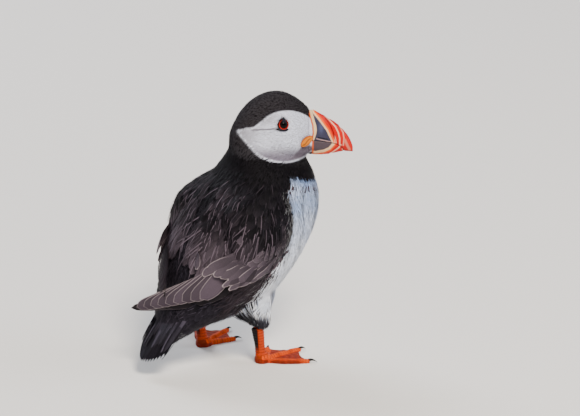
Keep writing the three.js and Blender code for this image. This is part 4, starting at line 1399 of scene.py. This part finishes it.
# %% [markdown]
# ## The bill
# The bill is horn over bone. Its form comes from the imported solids, melted together and then measured
# with rays from the bill's own axis, so that the surface has rows of points along it and columns round
# it. The grown details are laid on that form: the raised cream cere with its pits, the slate plate, a
# cream stripe, and a red tip cut by grooves. A puffin gains grooves with age, and this one has two
# plain ones and a faint one.

# %% Horn
def horn_material(name, roughness, growth, pits):
    """Horn whose tone is on the points, with fine growth lines and some depth of pitting."""
    material, shader = new_material(name, Roughness=roughness)
    shader.inputs["Specular IOR Level"].default_value = 0.16
    tone = add(material, "ShaderNodeAttribute", {}, attribute_name="tone")
    grown = add(material, "ShaderNodeAttribute", {}, attribute_name="growth")
    turns = {0: grown.outputs["Fac"], 1: 2 * math.pi / growth}
    lines = add(material, "ShaderNodeMath", turns, operation="MULTIPLY")
    wave = add(material, "ShaderNodeMath", {0: lines.outputs["Value"]}, operation="SINE")
    cloud = add(material, "ShaderNodeTexNoise", {"Scale": 260, "Detail": 5})
    span = {"From Min": 0.3, "From Max": 0.7, "To Min": 0.84, "To Max": 1.1}
    level = add(material, "ShaderNodeMapRange", {"Value": cloud.outputs["Fac"], **span})
    shaded = {0: tone.outputs["Color"], "Scale": level.outputs["Result"]}
    toned = add(material, "ShaderNodeVectorMath", shaded, operation="SCALE")
    link(material, toned.outputs["Vector"], shader.inputs["Base Color"])
    cells = add(material, "ShaderNodeTexVoronoi", {"Scale": 1300})
    relief = add(material, "ShaderNodeMath", {0: cells.outputs["Distance"], 1: pits}, operation="MULTIPLY")
    summed = {0: wave.outputs["Value"], 1: 0.3, 2: relief.outputs["Value"]}
    height = add(material, "ShaderNodeMath", summed, operation="MULTIPLY_ADD")
    raised = {"Height": height.outputs["Value"], "Distance": 0.0001, "Strength": 0.7}
    bump = add(material, "ShaderNodeBump", raised)
    link(material, bump.outputs["Normal"], shader.inputs["Normal"])
    return material


red_horn = horn_material("red bill horn, fine growth lines", 0.34, 0.9, 0.1)
slate_horn = horn_material("slate-blue bill horn, fine growth lines", 0.42, 0.8, 0.2)
cream_horn = horn_material("cream cere, pitted skin over horn", 0.5, 1.2, 1.6)

# %% The form of the bill
BILL = ["bill_base_ridge", "bill_upper_plate", "bill_upper_tip", "bill_lower_plate", "bill_lower_tip"]
BILL_BACK, BILL_MEASURED, BILL_TIP = 29.8, 36.2, 66.9  # millimetres ahead of the head's centre
BILL_AXIS = [(30, -8), (52, -8.5), (60, -11.5), (64, -14.5), (67.1, -18.6)]
BILL_ROWS, BILL_COLUMNS = 210, 180
bill_form = Surface(melted("outline of the bill", BILL, 0.42 * MM, 5, 0.25 * MM))


def ray_distances(surface, starts, directions, reach):
    """How far along each ray the surface lies, looking back from outside it."""
    found = np.full(len(starts), np.nan)
    for i, (start, direction) in enumerate(zip(starts + directions * reach, directions)):
        place = surface.tree.ray_cast(Vector(start), Vector(-direction), reach)[0]
        if place is not None:
            found[i] = np.dot(np.array(place) - starts[i], direction)
    return found


run = np.linspace(0, 1, BILL_ROWS)
bill_x = BILL_BACK + (BILL_TIP - BILL_BACK) * np.sin(run * np.pi / 2) ** 0.92
around = np.linspace(0, 2 * np.pi, BILL_COLUMNS, endpoint=False)
axis_x, axis_z = np.array(BILL_AXIS).T
grid_x, grid_turn = np.meshgrid(bill_x, around, indexing="ij")
seen_x = np.maximum(grid_x, BILL_MEASURED)
starts = np.stack([seen_x, 0 * seen_x, np.interp(seen_x, axis_x, axis_z)], -1).reshape(-1, 3)
rays = np.stack([0 * grid_x, np.cos(grid_turn), np.sin(grid_turn)], -1).reshape(-1, 3)
reached = ray_distances(bill_form, from_head(starts), rays @ head_axes, 40 * MM) / MM
reached = np.where(np.isnan(reached), 0.2, reached).reshape(grid_x.shape)
reached = reached * (1 - 0.012 * np.clip(BILL_MEASURED - grid_x, 0, None))
bill_points = starts.reshape(*grid_x.shape, 3) + rays.reshape(*grid_x.shape, 3) * reached[..., None]
bill_points[..., 0] = grid_x
print("bill", np.round(bill_points.reshape(-1, 3).min(0), 1), np.round(bill_points.reshape(-1, 3).max(0), 1))

# %% [markdown]
# Lines across the bill are read in the side view, x forward and z up with the same lean as the face's.

# %% Lines across the bill
BILL_TONES = palette(
    cere="#e2bf90",
    cere_edge="#d4561a",
    slate="#343347",
    slate_glow="#51597a",
    stripe="#e8bf90",
    orange="#ea5806",
    red="#c00700",
    dark_red="#5e0804",
    groove="#f6b898",
    tip="#d27a62",
    mouth="#35201f",
    low_slate="#4b3f47",
    nostril="#121016",
    lip="#b08a84",
)
CERE_BACK = [(34.4, -16), (34.9, -10), (35.6, -5.7), (35.3, 0.9), (33.3, 7.8), (31.6, 15)]
CERE_FRONT = [(36.1, -16), (36.6, -11), (38.2, -6.4), (38.8, -2.7), (38.4, 0.9), (36.8, 6.1), (35, 13.5)]
SLATE_FRONT = [
    (30, -19.9), (38, -19.6), (44, -18.6), (48, -16.7), (50.9, -13.3), (49.7, -10.7),
    (46.3, -3.1), (43.2, 1.4), (39.9, 6.1), (35.6, 11.5), (34.5, 16),
]
STRIPE = {"cream": 1.2, "orange": 2.9, "low_cream": 1.9, "low_orange": 3.2}  # widths in front of the slate
FAINT_GROOVE = [(45.5, 7.4), (49.5, 1.4), (51.6, -4.4), (52.7, -9.2), (53.3, -12.8)]
PLAIN_GROOVE = [(43.8, 10.5), (48.4, 6.2), (53.3, 0.4), (55.6, -4.4), (56.7, -9.2), (56.7, -14.2)]
TIP_GROOVE = [(56.5, 1.2), (59.3, -4.4), (60, -9.2), (59.5, -15)]
LOW_GROOVE = [(57.6, -14.6), (56.1, -16.7), (53, -19.2), (49, -22)]
GROOVES = [(FAINT_GROOVE, 0.22), (PLAIN_GROOVE, 0.5), (TIP_GROOVE, 0.4), (LOW_GROOVE, 0.45)]
MOUTH = [(30, -10.6), (36, -11.4), (51.6, -13.3), (55.4, -14.6), (59.4, -17.9), (60.6, -22)]
NOSTRIL = [(39.6, -8.6), (47.3, -10.4)]
PALE_TIP = [(60.6, -10.5), (62.3, -14.5), (64.4, -18.5)]
PALE_LIP = [(38.6, -9.6), (43, -10.7), (51.6, -12.5)]


def ahead_of(x, q, line):
    """How far in front of a line across the bill each place is, square to the line, in millimetres."""
    line_x, line_q = np.array(sorted(line, key=lambda place: place[1])).T
    return np.sign(x - np.interp(q, line_q, line_x)) * distance_to_line(x, q, line)


def band(value, low, high, soft=0.18):
    return smoothstep(low - soft, low + soft, value) * (1 - smoothstep(high - soft, high + soft, value))


x, y, z = np.moveaxis(bill_points, -1, 0)
q = z - SIDE_LEAN * np.abs(y)
cere_back, cere_front = ahead_of(x, q, CERE_BACK), ahead_of(x, q, CERE_FRONT)
slate_front = ahead_of(x, q, SLATE_FRONT)
mouth_gap = distance_to_line(x, q, MOUTH)
mouth_x, mouth_z = np.array(MOUTH).T
above_mouth = (q > np.interp(x, mouth_x, mouth_z)) | (x > 60.6)
near_nostril = distance_to_line(x, q, NOSTRIL)
lip = distance_to_line(x, q, PALE_LIP)

# %% Paint the bill
cream = np.where(above_mouth, STRIPE["cream"], STRIPE["low_cream"])
orange = np.where(above_mouth, STRIPE["orange"], STRIPE["low_orange"])
tones = np.broadcast_to(BILL_TONES["red"], bill_points.shape).copy()
near_faint = distance_to_line(x, q, FAINT_GROOVE)
tones = mix(tones, BILL_TONES["dark_red"], 0.75 * smoothstep(0.9, 0.2, near_faint) * above_mouth)
tones = mix(tones, BILL_TONES["orange"], smoothstep(orange + 0.5, orange - 0.9, slate_front))
for line, strength in ((PLAIN_GROOVE, 0.95), (TIP_GROOVE, 0.6), (LOW_GROOVE, 0.95)):
    tones = mix(tones, BILL_TONES["groove"], strength * smoothstep(0.75, 0.25, distance_to_line(x, q, line)))
low_faint = smoothstep(-6, -10, q) * above_mouth
faint_rims = smoothstep(0.5, 0.15, np.abs(near_faint - 0.6)) * (x > 52.4)
tones = mix(tones, BILL_TONES["groove"], 0.8 * low_faint * faint_rims)
pale = smoothstep(1.7, 0.4, distance_to_line(x, q, PALE_TIP)) * above_mouth
tones = mix(tones, BILL_TONES["tip"], np.maximum(pale * 0.85, smoothstep(57.5, 59.5, x) * ~above_mouth))
culmen = smoothstep(2.2, 0.8, np.abs(y)) * above_mouth * smoothstep(38, 42, x)
tones = mix(tones, BILL_TONES["dark_red"], 0.35 * culmen)
tones = mix(tones, BILL_TONES["stripe"], 1 - smoothstep(cream - 0.25, cream + 0.25, slate_front))
# A painted highlight: a soft pale-blue spot in the middle of the slate plate.
glow = np.exp(-(((x - 42.2) / 1.8) ** 2) - (((q + 0.6) / 4.5) ** 2))
slate = mix(BILL_TONES["slate"], BILL_TONES["slate_glow"], 0.6 * glow)
slate = np.where(above_mouth[..., None], slate, BILL_TONES["low_slate"])
tones = mix(tones, slate, 1 - smoothstep(-0.15, 0.15, slate_front))
tones = mix(tones, BILL_TONES["lip"], 0.8 * smoothstep(0.5, 0.2, lip) * above_mouth)
on_cere = (1 - smoothstep(-0.2, 0.2, cere_front)) * above_mouth
tones = mix(tones, BILL_TONES["cere"], on_cere)
tones = mix(tones, BILL_TONES["cere_edge"], on_cere * smoothstep(1.3, 0.6, cere_back))
low_edge = smoothstep(1.6, 0.7, x - 35.2) * ~above_mouth
tones = mix(tones, BILL_TONES["cere_edge"], low_edge)
# The nostril slit and the mouth line are shallow grooves painted near-black: painted shade of the opening and
# of the gap between the mandibles.
tones = mix(tones, BILL_TONES["nostril"], smoothstep(0.5, 0.2, near_nostril))
tones = mix(tones, BILL_TONES["mouth"], smoothstep(0.5, 0.15, mouth_gap) * (x < 60.6) * 0.9)
# The feathered root of the bill takes the plumage's colour, painted a little darker as the shade among the
# velvet's feathers.
feathered = 1 - smoothstep(-0.25, 0.05, np.where(above_mouth, cere_back, x - 35.2))
tones = mix(tones, plumage(from_head(bill_points)) * 0.87, feathered)

# %% Raise its ridges and cut its grooves
relief = 0.6 * on_cere * np.sqrt(np.clip(band(cere_back, 0.4, 3.4, 0.8), 0, 1))
relief = relief + 0.25 * band(slate_front, 0.2, 1.4, 0.4) - 0.15 * band(slate_front, -1.2, -0.1, 0.4)
for line, depth in GROOVES:
    relief = relief - depth * np.exp(-((distance_to_line(x, q, line) / 0.55) ** 2))
    relief = relief + 0.35 * depth * np.exp(-((distance_to_line(x + 1.1, q, line) / 0.7) ** 2))
relief = relief - 0.65 * np.exp(-((mouth_gap / 0.42) ** 2)) * (x < 60.6)
relief = relief - 0.6 * np.exp(-((near_nostril / 0.42) ** 2))
relief = relief + 0.25 * np.exp(-((lip / 0.55) ** 2)) * above_mouth
relief = relief * smoothstep(1.0, 3.5, reached) * smoothstep(30, 33, x)
bill_points = bill_points + rays.reshape(bill_points.shape) * relief[..., None]

# %% Part the bill into its horns
def tube_quads(rows, around):
    """The faces of a tube whose points are counted row by row, each row closed into a ring."""
    index = np.arange(rows * around).reshape(rows, around)
    after = np.roll(index, -1, axis=1)
    return np.stack([index[:-1], after[:-1], after[1:], index[1:]], -1).reshape(-1, 4)


bill_quads = tube_quads(*x.shape)


def piece_of(name, points, quads, kept, layers, material):
    """Some faces of a grid as an object of their own, with values on the points they keep."""
    used, corners = np.unique(quads[kept], return_inverse=True)
    piece = mesh_object(name, points[used], corners.reshape(-1, quads.shape[1]), material)
    for layer, (kind, values) in layers.items():
        write_points(piece.data, layer, kind, values[used])
    return piece


face_above = above_mouth.reshape(-1)[bill_quads].mean(1) > 0.5
face_cere = (cere_front.reshape(-1)[bill_quads].mean(1) < 0.1) & face_above
layers = {
    "tone": ("FLOAT_COLOR", with_alpha(tones).reshape(-1, 4)),
    "growth": ("FLOAT", slate_front.reshape(-1)),
}
bill_world = from_head(bill_points.reshape(-1, 3))
cere = piece_of("cere", bill_world, bill_quads, face_cere, layers, cream_horn)
attach(cere, "cream_horn", "bill_base_ridge")
upper = piece_of("upper_bill", bill_world, bill_quads, face_above & ~face_cere, layers, red_horn)
attach(upper, "red_horn", "bill_upper_plate", "bill_upper_tip")
lower = piece_of("lower_bill", bill_world, bill_quads, ~face_above, layers, slate_horn)
attach(lower, "dark_horn", "bill_lower_plate", "bill_lower_tip")
print("bill:", len(bill_quads), "faces")

# %% [markdown]
# The velvet of the face runs on over the root of the bill, up to the cere and to the lower bill's rim.

# %% Velvet at the root of the bill
root_faces = feathered.reshape(-1)[bill_quads].mean(1) > 0.9
root_faces &= bill_points[..., 0].reshape(-1)[bill_quads].mean(1) > 31.5
root_mesh = bpy.data.meshes.new("feathered root of the bill")
used, corners = np.unique(bill_quads[root_faces], return_inverse=True)
root_mesh.from_pydata(bill_world[used].tolist(), [], corners.reshape(-1, 4).tolist())
bill_root = Surface(root_mesh)
roots = spread(scatter(bill_root, np.ones(len(bill_root.corners)), 3), VELVET_SPACING * MM)
sizes = (np.full(len(roots), size) for size in (1.9, 0.5, 0.4))
hair = strands(bill_root, roots, 2, *sizes, 4, 0.5, 9, 0.03)
attach(coat_piece("bill_root_velvet", hair, velvet_tones(hair), velvet), "grey_feather")

# %% [markdown]
# ## Rosettes, eyes and plates
# In the corner of the mouth sits a fleshy orange rosette, wrinkled like a folded leaf. The eye is a
# dark brown ball behind a red ring of small beads, with a horny plate above it and another below.

# %% Soft skin
def fold_material(name, roughness, scale, depth):
    """Bare wrinkled skin whose tone is on the points."""
    material, shader = new_material(name, Roughness=roughness)
    tone = add(material, "ShaderNodeAttribute", {}, attribute_name="tone")
    cells = add(material, "ShaderNodeTexVoronoi", {"Scale": scale})
    span = {"From Min": 0.0, "From Max": 0.9, "To Min": 1.12, "To Max": 0.7}
    level = add(material, "ShaderNodeMapRange", {"Value": cells.outputs["Distance"], **span})
    shaded = {0: tone.outputs["Color"], "Scale": level.outputs["Result"]}
    toned = add(material, "ShaderNodeVectorMath", shaded, operation="SCALE")
    link(material, toned.outputs["Vector"], shader.inputs["Base Color"])
    raised = {"Height": cells.outputs["Distance"], "Distance": depth, "Strength": 0.7}
    bump = add(material, "ShaderNodeBump", raised)
    bump.invert = True
    link(material, bump.outputs["Normal"], shader.inputs["Normal"])
    shader.inputs["Specular IOR Level"].default_value = 0.2
    shader.inputs["Subsurface Weight"].default_value = 0.12
    shader.inputs["Subsurface Radius"].default_value = (0.002, 0.0008, 0.0004)
    return material


rosette_skin = fold_material("orange rosette, soft wrinkled skin", 0.55, 1500, 0.00012)
ring_skin = fold_material("red eye ring, beaded bare skin", 0.5, 2200, 0.00008)
plate_horn = horn_material("blue-grey eye plate, horny skin", 0.45, 0.7, 0.6)
ROSETTE_TONES = palette(leaf="#dc8200", crease="#5c2002", rim="#b04e00")
ROSETTE_REAR, ROSETTE_GROWTH = 24.5, 1.25  # the leaf is longer than its bone by this share


def displaced(name, mesh, lifts, tones, material):
    """A melted mesh lifted along its normals by millimetres, with its tone on the points."""
    points = read_points(mesh) + read_normals(mesh) * lifts[:, None] * MM
    mesh.vertices.foreach_set("co", points.astype(np.float32).ravel())
    mesh.update()
    mesh.shade_smooth()
    mesh.materials.append(material)
    write_tone(mesh, tones)
    return show(name, mesh)


for side in SIGNS:
    leaf = melted(f"rosette_{side}", [f"rosette_{side}"], 0.3 * MM, 4, 0)
    head = to_head(read_points(leaf))
    head[:, 0] = ROSETTE_REAR + (head[:, 0] - ROSETTE_REAR) * ROSETTE_GROWTH
    flat = head[:, [0, 2]] - head[:, [0, 2]].mean(0)
    leaf.vertices.foreach_set("co", from_head(head).astype(np.float32).ravel())
    leaf.update()
    lengthwise = np.linalg.eigh(flat.T @ flat)[1][:, 1]
    run = flat @ lengthwise
    off = flat @ np.array([-lengthwise[1], lengthwise[0]])
    rim = smoothstep(0.75, 1.0, np.hypot(run / np.abs(run).max(), off / np.abs(off).max()))
    crease = np.exp(-(((off - 0.5 * np.sin(run * 0.8)) / 0.38) ** 2))
    crease = crease * smoothstep(0.95, 0.6, np.abs(run) / np.abs(run).max())
    wrinkle = np.sin(np.hypot(run, 2.2 * off) * 2 * np.pi / 1.5)
    tones = mix(ROSETTE_TONES["leaf"], ROSETTE_TONES["rim"], np.maximum(rim, 0.25 + 0.25 * wrinkle))
    # The crease is sunk as a groove and painted dark brown: painted shade in the fold.
    tones = mix(tones, ROSETTE_TONES["crease"], 0.85 * crease)
    fold = 0.3 * wrinkle - 1.2 * crease + 0.4
    piece = displaced(f"gape_rosette_{side}", leaf, 0.3 * fold, tones, rosette_skin)
    attach(piece, "rosette", f"rosette_{side}")

# %% Eyes
EYE_TONES = palette(pupil="#020203", iris="#120c0b", rim="#070505")
PUPIL, IRIS = 1.75, 3.0  # radii in millimetres
BEADS = 26
wet_eye, wet_shader = new_material("wet eye, dark brown iris under a clear cornea", Roughness=0.06)
eye_tone = add(wet_eye, "ShaderNodeAttribute", {}, attribute_name="tone")
fibres = add(wet_eye, "ShaderNodeTexNoise", {"Scale": 1800, "Detail": 2})
span = {"Value": fibres.outputs["Fac"], "To Min": 0.6, "To Max": 1.4}
fibre_level = add(wet_eye, "ShaderNodeMapRange", span)
shaded = {0: eye_tone.outputs["Color"], "Scale": fibre_level.outputs["Result"]}
eye_colour = add(wet_eye, "ShaderNodeVectorMath", shaded, operation="SCALE")
link(wet_eye, eye_colour.outputs["Vector"], wet_shader.inputs["Base Color"])
wet_shader.inputs["Specular IOR Level"].default_value = 0.05
wet_shader.inputs["Coat Weight"].default_value = 0.07
wet_shader.inputs["Coat Roughness"].default_value = 0.03


def eye_frame(side):
    """The middle of the eye's ring and its three directions: forward, up and out."""
    ring, ball = middle_of(f"eye_ring_{side}"), middle_of(f"eye_{side}")
    out = unit(ring - ball)
    ahead = unit(forward_head - out * np.dot(out, forward_head))
    up = np.cross(out, ahead)
    return ring, ahead, up if up[2] > 0 else -up, out


def lathe(profile, sides, centre, ahead, up, out):
    """A surface of revolution round the way out of the eye: profile holds (radius, height) in mm."""
    turn = np.linspace(0, 2 * np.pi, sides, endpoint=False)
    radius, height = np.array(profile, float).T
    flat = np.cos(turn)[None, :, None] * ahead + np.sin(turn)[None, :, None] * up
    points = centre + (radius[:, None, None] * flat + height[:, None, None] * out) * MM
    return points, tube_quads(len(profile), sides), turn


# Outlines of the plates, forward and up from the middle of the eye, in millimetres.
EYE_PLATES = {
    "upper": [
        (-0.1, 5.8), (0.55, 4.9), (1.35, 3.5), (2.1, 2.0),
        (0.7, 1.5), (-1.5, 1.7), (-1.5, 3.0), (-0.75, 4.7),
    ],
    "lower": [
        (-5.9, -3.5), (-3.4, -2.8), (0, -3.6), (3.3, -3.2),
        (3.6, -4.5), (0.5, -5.3), (-3.0, -5.0), (-4.8, -4.4),
    ],
}
PLATE_RISE = {"upper": (0.95, 0.6), "lower": (0.1, 0.5)}  # how high the rim stands, and the crown over it


def cushion(name, outline_points, heights, frame_of_eye):
    """A low rounded plate over an outline, sunk at its rim and highest in the middle."""
    centre, ahead, up, out = frame_of_eye
    count = 64
    ring = through(list(outline_points) + [outline_points[0]])(np.linspace(0, 1, count, endpoint=False))
    middle = ring.mean(0)
    shares = np.array([1.0, 1.0, 0.97, 0.88, 0.72, 0.5, 0.25, 0.02])[:, None, None]
    flat = middle + (ring - middle) * shares
    rim, crown = heights
    rise = rim + crown * np.sqrt(np.clip(1 - shares[..., 0] ** 2.5, 0, 1)) * np.ones(count)
    rise[0] = rim - 1.6
    points = centre + (flat[..., :1] * ahead + flat[..., 1:] * up + rise[..., None] * out) * MM
    piece = mesh_object(name, points.reshape(-1, 3), tube_quads(*points.shape[:2]), plate_horn)
    write_tone(piece.data, np.broadcast_to(linear("#10111c"), points.shape))
    write_points(piece.data, "growth", "FLOAT", np.broadcast_to(flat[..., 1], points.shape[:2]).ravel())
    return piece


EYE_BALL = 4.55
EYE_SUNK = 3.35  # the ball's middle lies this far under the ring's
for side in SIGNS:
    frame_of_eye = eye_frame(side)
    bend = np.radians(np.linspace(0.5, 75, 40))
    profile = np.stack([EYE_BALL * np.sin(bend), EYE_BALL * np.cos(bend) - EYE_SUNK], -1)
    points, quads, _ = lathe(profile, 48, *frame_of_eye)
    radius = np.broadcast_to(profile[:, :1], points.shape[:2])
    tones = mix(EYE_TONES["pupil"], EYE_TONES["iris"], smoothstep(PUPIL - 0.15, PUPIL + 0.15, radius))
    tones = mix(tones, EYE_TONES["rim"], smoothstep(IRIS - 0.3, IRIS + 0.2, radius))
    ball = mesh_object(f"eyeball_{side}", points.reshape(-1, 3), quads, wet_eye)
    write_tone(ball.data, tones)
    attach(ball, "eye", f"eye_{side}")

    roll = np.radians(np.linspace(-100, 250, 22))
    profile = np.stack([3.62 + 0.4 * np.cos(roll), 0.2 + 0.34 * np.sin(roll)], -1)
    points, quads, turn = lathe(profile, 208, *frame_of_eye)
    bead = np.abs(np.sin(turn * BEADS / 2)) ** 0.7
    centre, _, _, out = frame_of_eye
    points = points + out * ((0.24 * bead - 0.12) * np.clip(np.sin(roll), 0, 1)[:, None])[..., None] * MM
    # The ring is painted darker between its beads and darker still along its top, under the upper plate:
    # painted shade.
    tones = mix(linear("#6e0d08"), linear("#cc1c0a"), np.broadcast_to(bead, points.shape[:2]))
    above = smoothstep(-0.2, 0.9, np.broadcast_to(np.sin(turn), points.shape[:2]))
    tones = mix(tones, linear("#4e0a08"), 0.75 * above)
    ring = mesh_object(f"beaded_ring_{side}", points.reshape(-1, 3), quads, ring_skin)
    write_tone(ring.data, tones)
    attach(ring, "eye_ring", f"eye_ring_{side}")

    for plate, outline_points in EYE_PLATES.items():
        horn = cushion(f"eye_plate_{plate}_{side}_horn", outline_points, PLATE_RISE[plate], frame_of_eye)
        attach(horn, "dark_horn", f"eye_plate_{plate}_{side}")

# %% [markdown]
# ## Feet
# The shanks are covered by plates called scutes, in rings, and the toes by narrower ones. Between the
# toes the web is a thin skin of fine scales. All of it is one skin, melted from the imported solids, and
# then parted so that the web keeps a material of its own. The back of the shank is black.

# %% Scaly skin
FEET = {
    "right": {"heel": (0, -29), "toes": {"outer": -38, "middle": 6, "inner": 46}},
    "left": {"heel": (-16, 29), "toes": {"outer": 62, "middle": 26, "inner": -8}},
}
TOE_LENGTHS = {"outer": 37, "middle": 39, "inner": 28}
SCUTE = 2.3  # millimetres from one ring of plates to the next
FOOT_TONES = palette(shank="#c43c02", toe="#e04e00", web="#c43600", back="#100c0c", joint="#a83000")


def scaly_material(name, roughness, scale, depth):
    """Bare scaly skin: small scales everywhere, and rings of plates where the points say so."""
    material, shader = new_material(name, Roughness=roughness)
    shader.inputs["Specular IOR Level"].default_value = 0.16
    tone = add(material, "ShaderNodeAttribute", {}, attribute_name="tone")
    scute = add(material, "ShaderNodeAttribute", {}, attribute_name="scute")
    part = add(material, "ShaderNodeMath", {0: scute.outputs["Fac"]}, operation="FRACT")
    valley = add(material, "ShaderNodeMath", {0: part.outputs["Value"], 1: 0.5}, operation="SUBTRACT")
    edge = add(material, "ShaderNodeMath", {0: valley.outputs["Value"]}, operation="ABSOLUTE")
    groove = {"Value": edge.outputs["Value"], "From Min": 0.36, "From Max": 0.5}
    rim = add(material, "ShaderNodeMapRange", groove)
    cells = add(material, "ShaderNodeTexVoronoi", {"Scale": scale})
    summed = {0: rim.outputs["Result"], 1: 1.3, 2: cells.outputs["Distance"]}
    both = add(material, "ShaderNodeMath", summed, operation="MULTIPLY_ADD")
    span = {"From Min": 0.0, "From Max": 1.6, "To Min": 1.25, "To Max": 0.4}
    level = add(material, "ShaderNodeMapRange", {"Value": both.outputs["Value"], **span})
    shaded = {0: tone.outputs["Color"], "Scale": level.outputs["Result"]}
    toned = add(material, "ShaderNodeVectorMath", shaded, operation="SCALE")
    link(material, toned.outputs["Vector"], shader.inputs["Base Color"])
    raised = {"Height": both.outputs["Value"], "Distance": depth, "Strength": 0.8}
    bump = add(material, "ShaderNodeBump", raised)
    bump.invert = True
    link(material, bump.outputs["Normal"], shader.inputs["Normal"])
    shader.inputs["Subsurface Weight"].default_value = 0.1
    shader.inputs["Subsurface Radius"].default_value = (0.003, 0.001, 0.0005)
    return material


leg_skin = scaly_material("orange leg skin, horny scutes", 0.42, 650, 0.0003)
web_skin = scaly_material("red-orange web, fine-scaled skin", 0.5, 900, 0.0002)


# %% One skin for each foot
def toe_distances(bird, foot):
    """For each place, the nearest toe's line: how far off it is and how far along, in millimetres."""
    best = np.full(len(bird), np.inf)
    along = np.zeros(len(bird))
    for name, degrees in foot["toes"].items():
        ahead = np.array([math.cos(math.radians(degrees)), math.sin(math.radians(degrees))])
        flat = bird[:, :2] - np.array(foot["heel"])
        run = np.clip(flat @ ahead, 0, TOE_LENGTHS[name])
        off = np.linalg.norm(flat - run[:, None] * ahead, axis=-1)
        nearer = off < best
        best, along = np.where(nearer, off, best), np.where(nearer, run, along)
    return best, along


floor_height = to_bird(np.zeros(3))[2]
for side, foot in FEET.items():
    toes = [f"toe_{name}_{side}" for name in TOE_LENGTHS]
    webs = [f"web_{name}_{side}" for name in ("inner", "outer")]
    mesh = melted(f"foot_{side}", [f"tarsus_{side}", *toes, *webs], 0.5 * MM, 5, 0.2 * MM)
    points = read_points(mesh)
    bird = to_bird(points)
    bird[:, 2] -= floor_height
    off, along = toe_distances(bird, foot)
    shank = smoothstep(5, 8, bird[:, 2])
    pleat = np.sin(2 * np.pi * along / 4.5) * smoothstep(3, 6, off) * (1 - shank)
    in_web = smoothstep(2.6, 3.6, off) * (1 - smoothstep(3, 5, bird[:, 2]))
    tones = mix(FOOT_TONES["toe"], FOOT_TONES["web"], in_web)
    tones = mix(tones, FOOT_TONES["shank"], shank)
    # The web is painted lighter on the crest of each pleat and darker in its trough: painted light and shade
    # of the pleats.
    tones = tones * (1 + 0.25 * pleat)[:, None]
    behind = foot["heel"][0] - bird[:, 2] / 7 - bird[:, 0]
    black = shank * smoothstep(2.6, 3.4, behind + 0.02 * bird[:, 2]) * smoothstep(6, 16, bird[:, 2])
    tones = mix(tones, FOOT_TONES["back"], black)
    knuckle = smoothstep(2.2, 0.8, np.minimum(np.abs(along - 16), np.abs(along - 28)))
    tones = mix(tones, FOOT_TONES["joint"], 0.5 * knuckle * (1 - in_web) * (1 - shank))
    scute = np.where(shank > 0.5, bird[:, 2], along) / SCUTE
    lift = 0.2 * np.cos(2 * np.pi * scute) * (1 - in_web) + 0.2 * pleat
    points = points + read_normals(mesh) * lift[:, None] * MM
    points[:, 2] = np.maximum(points[:, 2], 0)
    quads = np.array([polygon.vertices[:] for polygon in mesh.polygons])
    web_face = in_web[quads].mean(1) > 0.5
    layers = {"tone": ("FLOAT_COLOR", with_alpha(tones)), "scute": ("FLOAT", scute * (1 - in_web))}
    leg = piece_of(f"leg_{side}", points, quads, ~web_face, layers, leg_skin)
    attach(leg, "leg_skin", f"tarsus_{side}", *toes)
    web = piece_of(f"webs_{side}", points, quads, web_face, layers, web_skin)
    attach(web, "web_skin", *webs)
    print(f"{side} foot: {len(quads)} faces")

# %% [markdown]
# Claws are black horn, curved and keeled, each on its toe's tip.

# %% Claws
claw_horn = horn_material("black claw, polished horn", 0.22, 1.1, 0.1)
CLAW_LENGTH, CLAW_RADIUS, CLAW_DROP = 6.4, 1.5, 1.3
for side, foot in FEET.items():
    for name, length in TOE_LENGTHS.items():
        t = np.linspace(0, 1, 26)[:, None]
        turn = np.linspace(0, 2 * np.pi, 24, endpoint=False)[None, :]
        radius = CLAW_RADIUS * (1 - t) ** 0.75
        keel = 1 + 0.12 * np.cos(turn * 2)
        run = length - 1.2 + (CLAW_LENGTH + 1.2) * t + 0 * turn
        rise = 1.9 + 1.1 * np.sin(np.pi * t) - CLAW_DROP * t**1.6 + radius * np.sin(turn) * keel
        across = 0.72 * radius * np.cos(turn)
        ahead = math.radians(foot["toes"][name])
        x = foot["heel"][0] + run * math.cos(ahead) - across * math.sin(ahead)
        y = foot["heel"][1] + run * math.sin(ahead) + across * math.cos(ahead)
        points = from_bird(np.stack([x, y, np.maximum(rise, 0.05) + floor_height], -1))
        quads = tube_quads(*points.shape[:2])
        claw = mesh_object(f"claw_{name}_{side}_horn", points.reshape(-1, 3), quads, claw_horn)
        write_tone(claw.data, np.broadcast_to(linear("#171414"), points.shape))
        write_points(claw.data, "growth", "FLOAT", (run + 0 * turn).ravel())
        attach(claw, "claw", f"claw_{name}_{side}")

# %% [markdown]
# ## Sizes, and the finish
# The two boxes are kept side by side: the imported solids', and that of all that is seen.

# %% Finish
visual_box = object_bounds()
sizes = {
    "cad": [list(map(float, corner)) for corner in cad_box],
    "visual": [list(map(float, corner)) for corner in visual_box],
}
print("cad", sizes["cad"], "visual", sizes["visual"])
